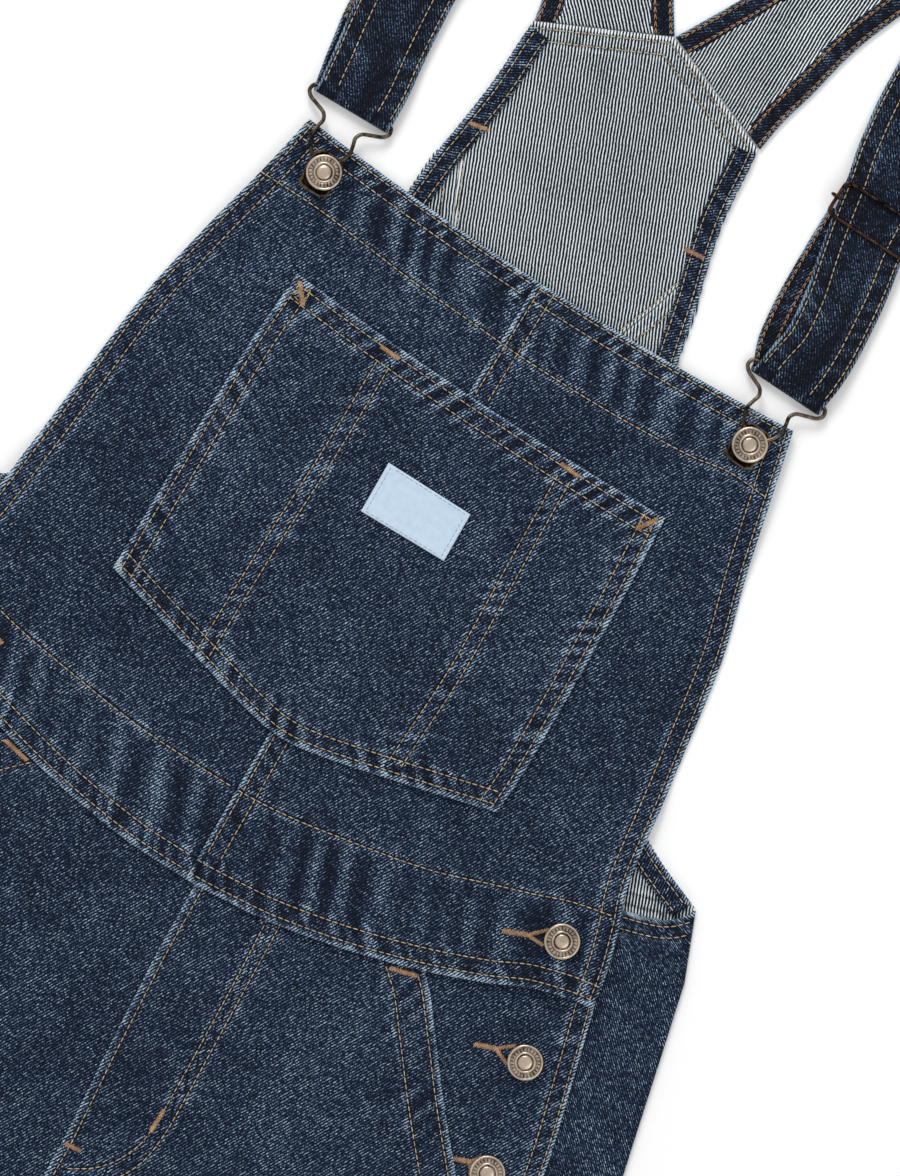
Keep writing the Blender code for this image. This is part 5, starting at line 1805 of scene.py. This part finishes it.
def make_button(name, x, y, z, shank, notches, turn):
    """A turned shank button with plain notches round its ring."""
    section = [Turned(0.0, -shank, 0.0), Turned(SHANK_RADIUS, -shank, 0.0), Turned(SHANK_RADIUS, -0.1, 0.0)]
    section += list(BUTTON_HEAD)
    bm = bmesh.new()
    verts = [bm.verts.new((point.radius, 0.0, shank + point.z)) for point in section]
    edges = [bm.edges.new(pair) for pair in zip(verts, verts[1:])]
    bmesh.ops.spin(bm, geom=verts + edges, cent=(0.0, 0.0, 0.0), axis=(0.0, 0.0, 1.0),
                   angle=math.tau, steps=BUTTON_STEPS, use_merge=True)
    bmesh.ops.remove_doubles(bm, verts=bm.verts, dist=0.005)
    bmesh.ops.recalc_face_normals(bm, faces=bm.faces)
    head = sorted(BUTTON_HEAD, key=lambda point: point.radius)
    radii = [point.radius for point in head]
    worn_at = [point.worn for point in head]
    worn = []
    low, high = NOTCH_RING
    for vert in bm.verts:
        radius = math.hypot(vert.co.x, vert.co.y)
        fade = float(np.interp(radius, radii, worn_at)) if vert.co.z > shank else 0.0
        if low < radius < high and vert.co.z > shank + 1.0:
            wave = math.cos(notches * (math.atan2(vert.co.y, vert.co.x) + turn))
            cut = max(wave - 0.1, 0.0) * math.sin(math.pi * (radius - low) / (high - low))
            vert.co.z -= 0.34 * cut
            fade -= 1.1 * cut
        worn.append(fade)
    bmesh.ops.translate(bm, verts=bm.verts, vec=(x - LAY_CENTRE[0], y - LAY_CENTRE[1], z))
    bmesh.ops.scale(bm, verts=bm.verts, vec=(MM, MM, MM))
    mesh = bpy.data.meshes.new(name)
    bm.to_mesh(mesh)
    bm.free()
    mesh.attributes.new("worn", "FLOAT", "POINT").data.foreach_set("value", worn)
    mesh.shade_smooth()
    mesh.set_sharp_from_angle(angle=math.radians(50.0))
    thing = put(name, mesh, [finish_named("pewter")])
    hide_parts(name)


def tube(name, points, radius, finish, closed=False, swell=None):
    """A wire along points on the garment; swell gives its radius at each point as a share."""
    curve = bpy.data.curves.new(name, "CURVE")
    curve.dimensions = "3D"
    curve.bevel_depth = radius * MM
    curve.bevel_resolution = 4
    curve.use_fill_caps = True
    spline = curve.splines.new("POLY")
    spline.points.add(len(points) - 1)
    shares = swell if swell is not None else [1.0] * len(points)
    for target, (x, y, z), share in zip(spline.points, points, shares):
        target.co = ((x - LAY_CENTRE[0]) * MM, (y - LAY_CENTRE[1]) * MM, z * MM, 1.0)
        target.radius = share
    spline.use_cyclic_u = closed
    spline.use_smooth = True
    wire = bpy.data.objects.new(name + "_wire", curve)
    bpy.context.scene.collection.objects.link(wire)
    bpy.context.view_layer.update()
    drawn = wire.evaluated_get(bpy.context.evaluated_depsgraph_get())
    mesh = bpy.data.meshes.new_from_object(drawn)
    bpy.data.objects.remove(wire)
    bpy.data.curves.remove(curve)
    mesh.name = name
    mesh.materials.clear()
    bm = bmesh.new()
    bm.from_mesh(mesh)
    bmesh.ops.recalc_face_normals(bm, faces=bm.faces)
    bm.to_mesh(mesh)
    bm.free()
    thing = put(name, mesh, [finish_named(finish)])
    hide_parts(name)
    return thing


def turned_place(fastening, x, y):
    angle = math.radians(fastening.turn)
    x += fastening.shift
    return (
        fastening.x + x * math.cos(angle) - y * math.sin(angle),
        fastening.y + x * math.sin(angle) + y * math.cos(angle),
    )


def make_hook(fastening):
    half = flowing(HOOK_WIRE, 6, keys=2)
    route = half + [point._replace(x=-point.x) for point in reversed(half[:-1])]
    points = []
    for point in route:
        x, y = turned_place(fastening, point.x, point.y)
        points.append((x, y, HOOK_BAR_Z + (HOOK_LOW_Z - HOOK_BAR_Z) * point.lift))
    tube("hook_wire_" + fastening.name, points, WIRE_RADIUS, "brass")
    bm = bmesh.new()
    outline = []
    for edge in PLATE_OUTLINE:
        x, y = turned_place(fastening, edge.x - fastening.shift * PLATE_CENTRING, edge.y)
        outline.append(bm.verts.new((x - LAY_CENTRE[0], y - LAY_CENTRE[1], PLATE_Z)))
    face = bm.faces.new(outline)
    raised = bmesh.ops.extrude_face_region(bm, geom=[face])
    moved = [item for item in raised["geom"] if isinstance(item, bmesh.types.BMVert)]
    bmesh.ops.translate(bm, verts=moved, vec=(0.0, 0.0, PLATE_THICKNESS))
    bmesh.ops.recalc_face_normals(bm, faces=bm.faces)
    top = max(bm.faces, key=lambda item: item.calc_center_median().z)
    bmesh.ops.inset_region(bm, faces=[top], thickness=1.1, depth=0.0)
    bmesh.ops.inset_region(bm, faces=[top], thickness=0.5, depth=-0.35)
    rims = [edge for edge in bm.edges if edge.calc_face_angle(0.0) > math.radians(50.0)]
    bmesh.ops.bevel(bm, geom=rims, offset=0.22, affect="EDGES", segments=3, profile=0.5, material=-1)
    bmesh.ops.scale(bm, verts=bm.verts, vec=(MM, MM, MM))
    mesh = bpy.data.meshes.new("hook_plate_" + fastening.name)
    bm.to_mesh(mesh)
    bm.free()
    mesh.shade_smooth()
    mesh.set_sharp_from_angle(angle=math.radians(40.0))
    thing = put("hook_plate_" + fastening.name, mesh, [finish_named("brass")])
    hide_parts("hook_plate_" + fastening.name)


KNURL_PITCH = 1.05
KNURL_SPANS = ((-12.5, -2.5), (2.5, 13.5))


def knurled(x):
    """The radius of the slide's wire as a share, ribbed where it is gripped."""
    inside = any(low < x < high for low, high in KNURL_SPANS)
    return 1.0 + 0.13 * math.cos(math.tau * x / KNURL_PITCH) if inside else 1.0


def make_slide(fastening):
    angle = math.radians(fastening.slide_turn)
    cos, sin = math.cos(angle), math.sin(angle)
    inner_x, inner_y = SLIDE_HALF.x - SLIDE_CORNER, SLIDE_HALF.y - SLIDE_CORNER
    run = np.linspace(inner_x, -inner_x, 160)
    corner = np.radians(np.linspace(0.0, 90.0, 9))
    outline = []
    for quarter, (sign_x, sign_y) in enumerate(((1, 1), (-1, 1), (-1, -1), (1, -1))):
        turn = corner + math.pi / 2.0 * quarter
        outline += [(sign_x * inner_x + SLIDE_CORNER * math.cos(a),
                     sign_y * inner_y + SLIDE_CORNER * math.sin(a)) for a in turn]
        if quarter == 0:
            outline += [(x, SLIDE_HALF.y) for x in run[1:-1]]
        if quarter == 2:
            outline += [(-x, -SLIDE_HALF.y) for x in run[1:-1]]
    points = [(fastening.slide_x + x * cos - y * sin, fastening.slide_y + x * sin + y * cos, SLIDE_FRAME_Z)
              for x, y in outline]
    swell = [knurled(x) if abs(abs(y) - SLIDE_HALF.y) < 0.01 else 1.0 for x, y in outline]
    tube("slide_frame_" + fastening.name, points, SLIDE_RADIUS, "bronze", True, swell)
    eye = flowing(SLIDE_EYE, 6, keys=2)
    bar = [(-point.x, point.z) for point in reversed(eye)] + [(point.x, point.z) for point in eye]
    points = [(fastening.slide_x + x * cos, fastening.slide_y + x * sin, z) for x, z in bar]
    tube("slide_bar_" + fastening.name, points, BAR_RADIUS, "bronze")


# The photograph looks straight down, and its top leans towards the wearer's right shoulder
PHOTO_CENTRE = Point(33.7, 175.6)
PHOTO_HEIGHT = 548.0
PHOTO_ROLL = 29.8
SENSOR = 24.0


def make_stage(sizes):
    bm = bmesh.new()
    bmesh.ops.create_grid(bm, x_segments=4, y_segments=4, size=6.0)
    mesh = bpy.data.meshes.new("floor")
    bm.to_mesh(mesh)
    bm.free()
    paint = Finish("Pale floor", 0.9, specular=0.1)
    paint.shader.inputs["Base Color"].default_value = (0.93, 0.93, 0.93, 1.0)
    mesh.materials.append(paint.material)
    floor = bpy.data.objects.new("floor", mesh)
    bpy.context.scene.collection.objects.link(floor)
    aim = Vector((PHOTO_CENTRE.x - LAY_CENTRE[0], PHOTO_CENTRE.y - LAY_CENTRE[1], 0.0)) * MM
    lens = bpy.data.cameras.new("camera")
    lens.type = "PERSP"
    lens.sensor_fit = "VERTICAL"
    lens.sensor_height = SENSOR
    lens.lens = SENSOR * sizes.camera_height / (PHOTO_HEIGHT * MM)
    lens.clip_end = 50.0
    camera = bpy.data.objects.new("camera", lens)
    camera.location = aim + Vector((0.0, 0.0, sizes.camera_height))
    camera.rotation_euler = (0.0, 0.0, math.radians(PHOTO_ROLL))
    bpy.context.scene.collection.objects.link(camera)
    bpy.context.scene.camera = camera
    for name, place, size, energy in (
        ("key", (-1.1, 1.5, 1.35), 0.9, sizes.key_power),
        ("fill", (1.6, -0.6, 1.8), 1.6, sizes.fill_power),
    ):
        lamp = bpy.data.lights.new(name, "AREA")
        lamp.energy = energy
        lamp.size = size
        light = bpy.data.objects.new(name, lamp)
        light.location = aim + Vector(place)
        light.rotation_euler = (aim - light.location).to_track_quat("-Z", "Y").to_euler()
        bpy.context.scene.collection.objects.link(light)
    world = bpy.data.worlds.new("studio")
    world.use_nodes = True
    sky = world.node_tree.nodes["Background"]
    sky.inputs["Color"].default_value = (1.0, 1.0, 1.0, 1.0)
    sky.inputs["Strength"].default_value = sizes.sky_strength
    bpy.context.scene.world = world
    bpy.context.scene.view_settings.view_transform = "Standard"


class OverallsSizes(bpy.types.PropertyGroup):
    """What a user would change: how fine the cloth is, and how it is sewn and lit."""

    spacing: FloatProperty(
        name="Cloth spacing",
        description="Distance between the points of the bib and its pocket, in millimetres",
        default=1.65, min=1.0, max=8.0,
    )
    leg_spacing: FloatProperty(
        name="Leg spacing",
        description="Distance between the rows of points at the top of the legs, in millimetres",
        default=2.3, min=1.5, max=10.0,
    )
    button_notches: IntProperty(
        name="Button notches",
        description="Plain notches round the ring of each button",
        default=24, min=8, max=40,
    )
    camera_height: FloatProperty(
        name="Camera height",
        description="Height of the camera above the surface",
        default=3.0, min=1.0, max=10.0, unit="LENGTH",
    )
    key_power: FloatProperty(
        name="Key light",
        description="Power of the soft light beyond the wearer's right shoulder",
        default=26.0, min=0.0, unit="POWER",
    )
    fill_power: FloatProperty(
        name="Fill light",
        description="Power of the broad light on the other side",
        default=9.0, min=0.0, unit="POWER",
    )
    sky_strength: FloatProperty(
        name="Sky strength",
        description="Brightness of the plain surroundings",
        default=0.75, min=0.0,
    )


def sizes_of(context):
    return context.scene.overalls


class OVERALLS_OT_bib(bpy.types.Operator):
    """Makes the two halves of the bib"""

    bl_idname = "overalls.bib"
    bl_label = "Bib"

    def execute(self, context):
        make_bib(sizes_of(context).spacing)
        return {"FINISHED"}


class OVERALLS_OT_pocket(bpy.types.Operator):
    """Makes the bib pocket and its bare label"""

    bl_idname = "overalls.pocket"
    bl_label = "Bib pocket"

    def execute(self, context):
        make_pocket(sizes_of(context).spacing)
        make_label()
        return {"FINISHED"}


class OVERALLS_OT_legs(bpy.types.Operator):
    """Makes the front and back legs and the pieces under the hand pockets"""

    bl_idname = "overalls.legs"
    bl_label = "Legs"

    def execute(self, context):
        spacing = sizes_of(context).leg_spacing
        make_front_legs(spacing)
        make_side_facings(spacing)
        make_back_legs(spacing)
        return {"FINISHED"}


class OVERALLS_OT_back(bpy.types.Operator):
    """Makes the yoke of the back and the facings of the armholes"""

    bl_idname = "overalls.back"
    bl_label = "Back yoke"

    def execute(self, context):
        make_yoke(sizes_of(context).spacing)
        make_armhole_facings(sizes_of(context).spacing)
        return {"FINISHED"}


class OVERALLS_OT_straps(bpy.types.Operator):
    """Makes the four lengths of strap"""

    bl_idname = "overalls.straps"
    bl_label = "Straps"

    def execute(self, context):
        make_back_straps(sizes_of(context).spacing)
        make_front_straps(sizes_of(context).spacing)
        return {"FINISHED"}


class OVERALLS_OT_sewing(bpy.types.Operator):
    """Sews the rows of stitches, bar tacks and buttonholes"""

    bl_idname = "overalls.sewing"
    bl_label = "Sewing"

    def execute(self, context):
        context.view_layer.update()
        for name, sew in (("bib", sew_bib), ("pocket", sew_pocket), ("leg", sew_legs),
                          ("back", sew_back), ("strap", sew_straps)):
            gold = Sewing(name + "_stitches", "gold", None)
            if name == "bib":
                sew(gold)
                gold.done()
                continue
            copper = Sewing(name + "_tacks", "copper", None)
            sew(gold, copper)
            gold.done()
            copper.done()
        holes = Sewing("buttonholes", "copper", None)
        sew_buttonholes(holes)
        holes.done()
        pale = Sewing("label_stitches", "pale", None)
        sew_label(pale)
        pale.done()
        return {"FINISHED"}


class OVERALLS_OT_fastenings(bpy.types.Operator):
    """Makes the hooks and slides of the straps"""

    bl_idname = "overalls.fastenings"
    bl_label = "Hooks and slides"

    def execute(self, context):
        for fastening in FASTENINGS:
            make_hook(fastening)
            make_slide(fastening)
        return {"FINISHED"}


class OVERALLS_OT_buttons(bpy.types.Operator):
    """Makes the buttons of the bib and the side openings"""

    bl_idname = "overalls.buttons"
    bl_label = "Buttons"

    def execute(self, context):
        notches = sizes_of(context).button_notches
        for index, fastening in enumerate(FASTENINGS):
            make_button("bib_button_" + fastening.name, fastening.x, fastening.y, BIB_BUTTON_Z,
                        BIB_SHANK, notches, 0.7 * index)
        for side, name in ((-1, "left"), (1, "right")):
            for index, button in enumerate(SIDE_BUTTONS):
                label = "side_button_{}_{}".format(name, index + 1)
                make_button(label, side * button.x, button.y, button.z, SIDE_SHANK, notches, 0.4 * index)
        return {"FINISHED"}


class OVERALLS_OT_stage(bpy.types.Operator):
    """Sets out the pale floor, the lights and the camera"""

    bl_idname = "overalls.stage"
    bl_label = "Stage"

    def execute(self, context):
        make_stage(sizes_of(context))
        return {"FINISHED"}


OPERATORS = (
    OVERALLS_OT_stage,
    OVERALLS_OT_legs,
    OVERALLS_OT_back,
    OVERALLS_OT_bib,
    OVERALLS_OT_pocket,
    OVERALLS_OT_straps,
    OVERALLS_OT_sewing,
    OVERALLS_OT_fastenings,
    OVERALLS_OT_buttons,
)


class OVERALLS_PT_panel(bpy.types.Panel):
    """Lists the pieces in the order that they are made"""

    bl_label = "Overalls"
    bl_idname = "OVERALLS_PT_panel"
    bl_space_type = "VIEW_3D"
    bl_region_type = "UI"
    bl_category = "Overalls"

    def draw(self, context):
        for name in OverallsSizes.__annotations__:
            self.layout.prop(sizes_of(context), name)
        for operator in OPERATORS:
            self.layout.operator(operator.bl_idname)


CLASSES = (OverallsSizes,) + OPERATORS + (OVERALLS_PT_panel,)


def register():
    for item in CLASSES:
        bpy.utils.register_class(item)
    bpy.types.Scene.overalls = PointerProperty(type=OverallsSizes)


def unregister():
    del bpy.types.Scene.overalls
    for item in reversed(CLASSES):
        bpy.utils.unregister_class(item)


def main():
    register()
    for operator in OPERATORS:
        group, name = operator.bl_idname.split(".")
        getattr(getattr(bpy.ops, group), name)()
    bpy.context.view_layer.update()


if __name__ == "__main__":
    main()
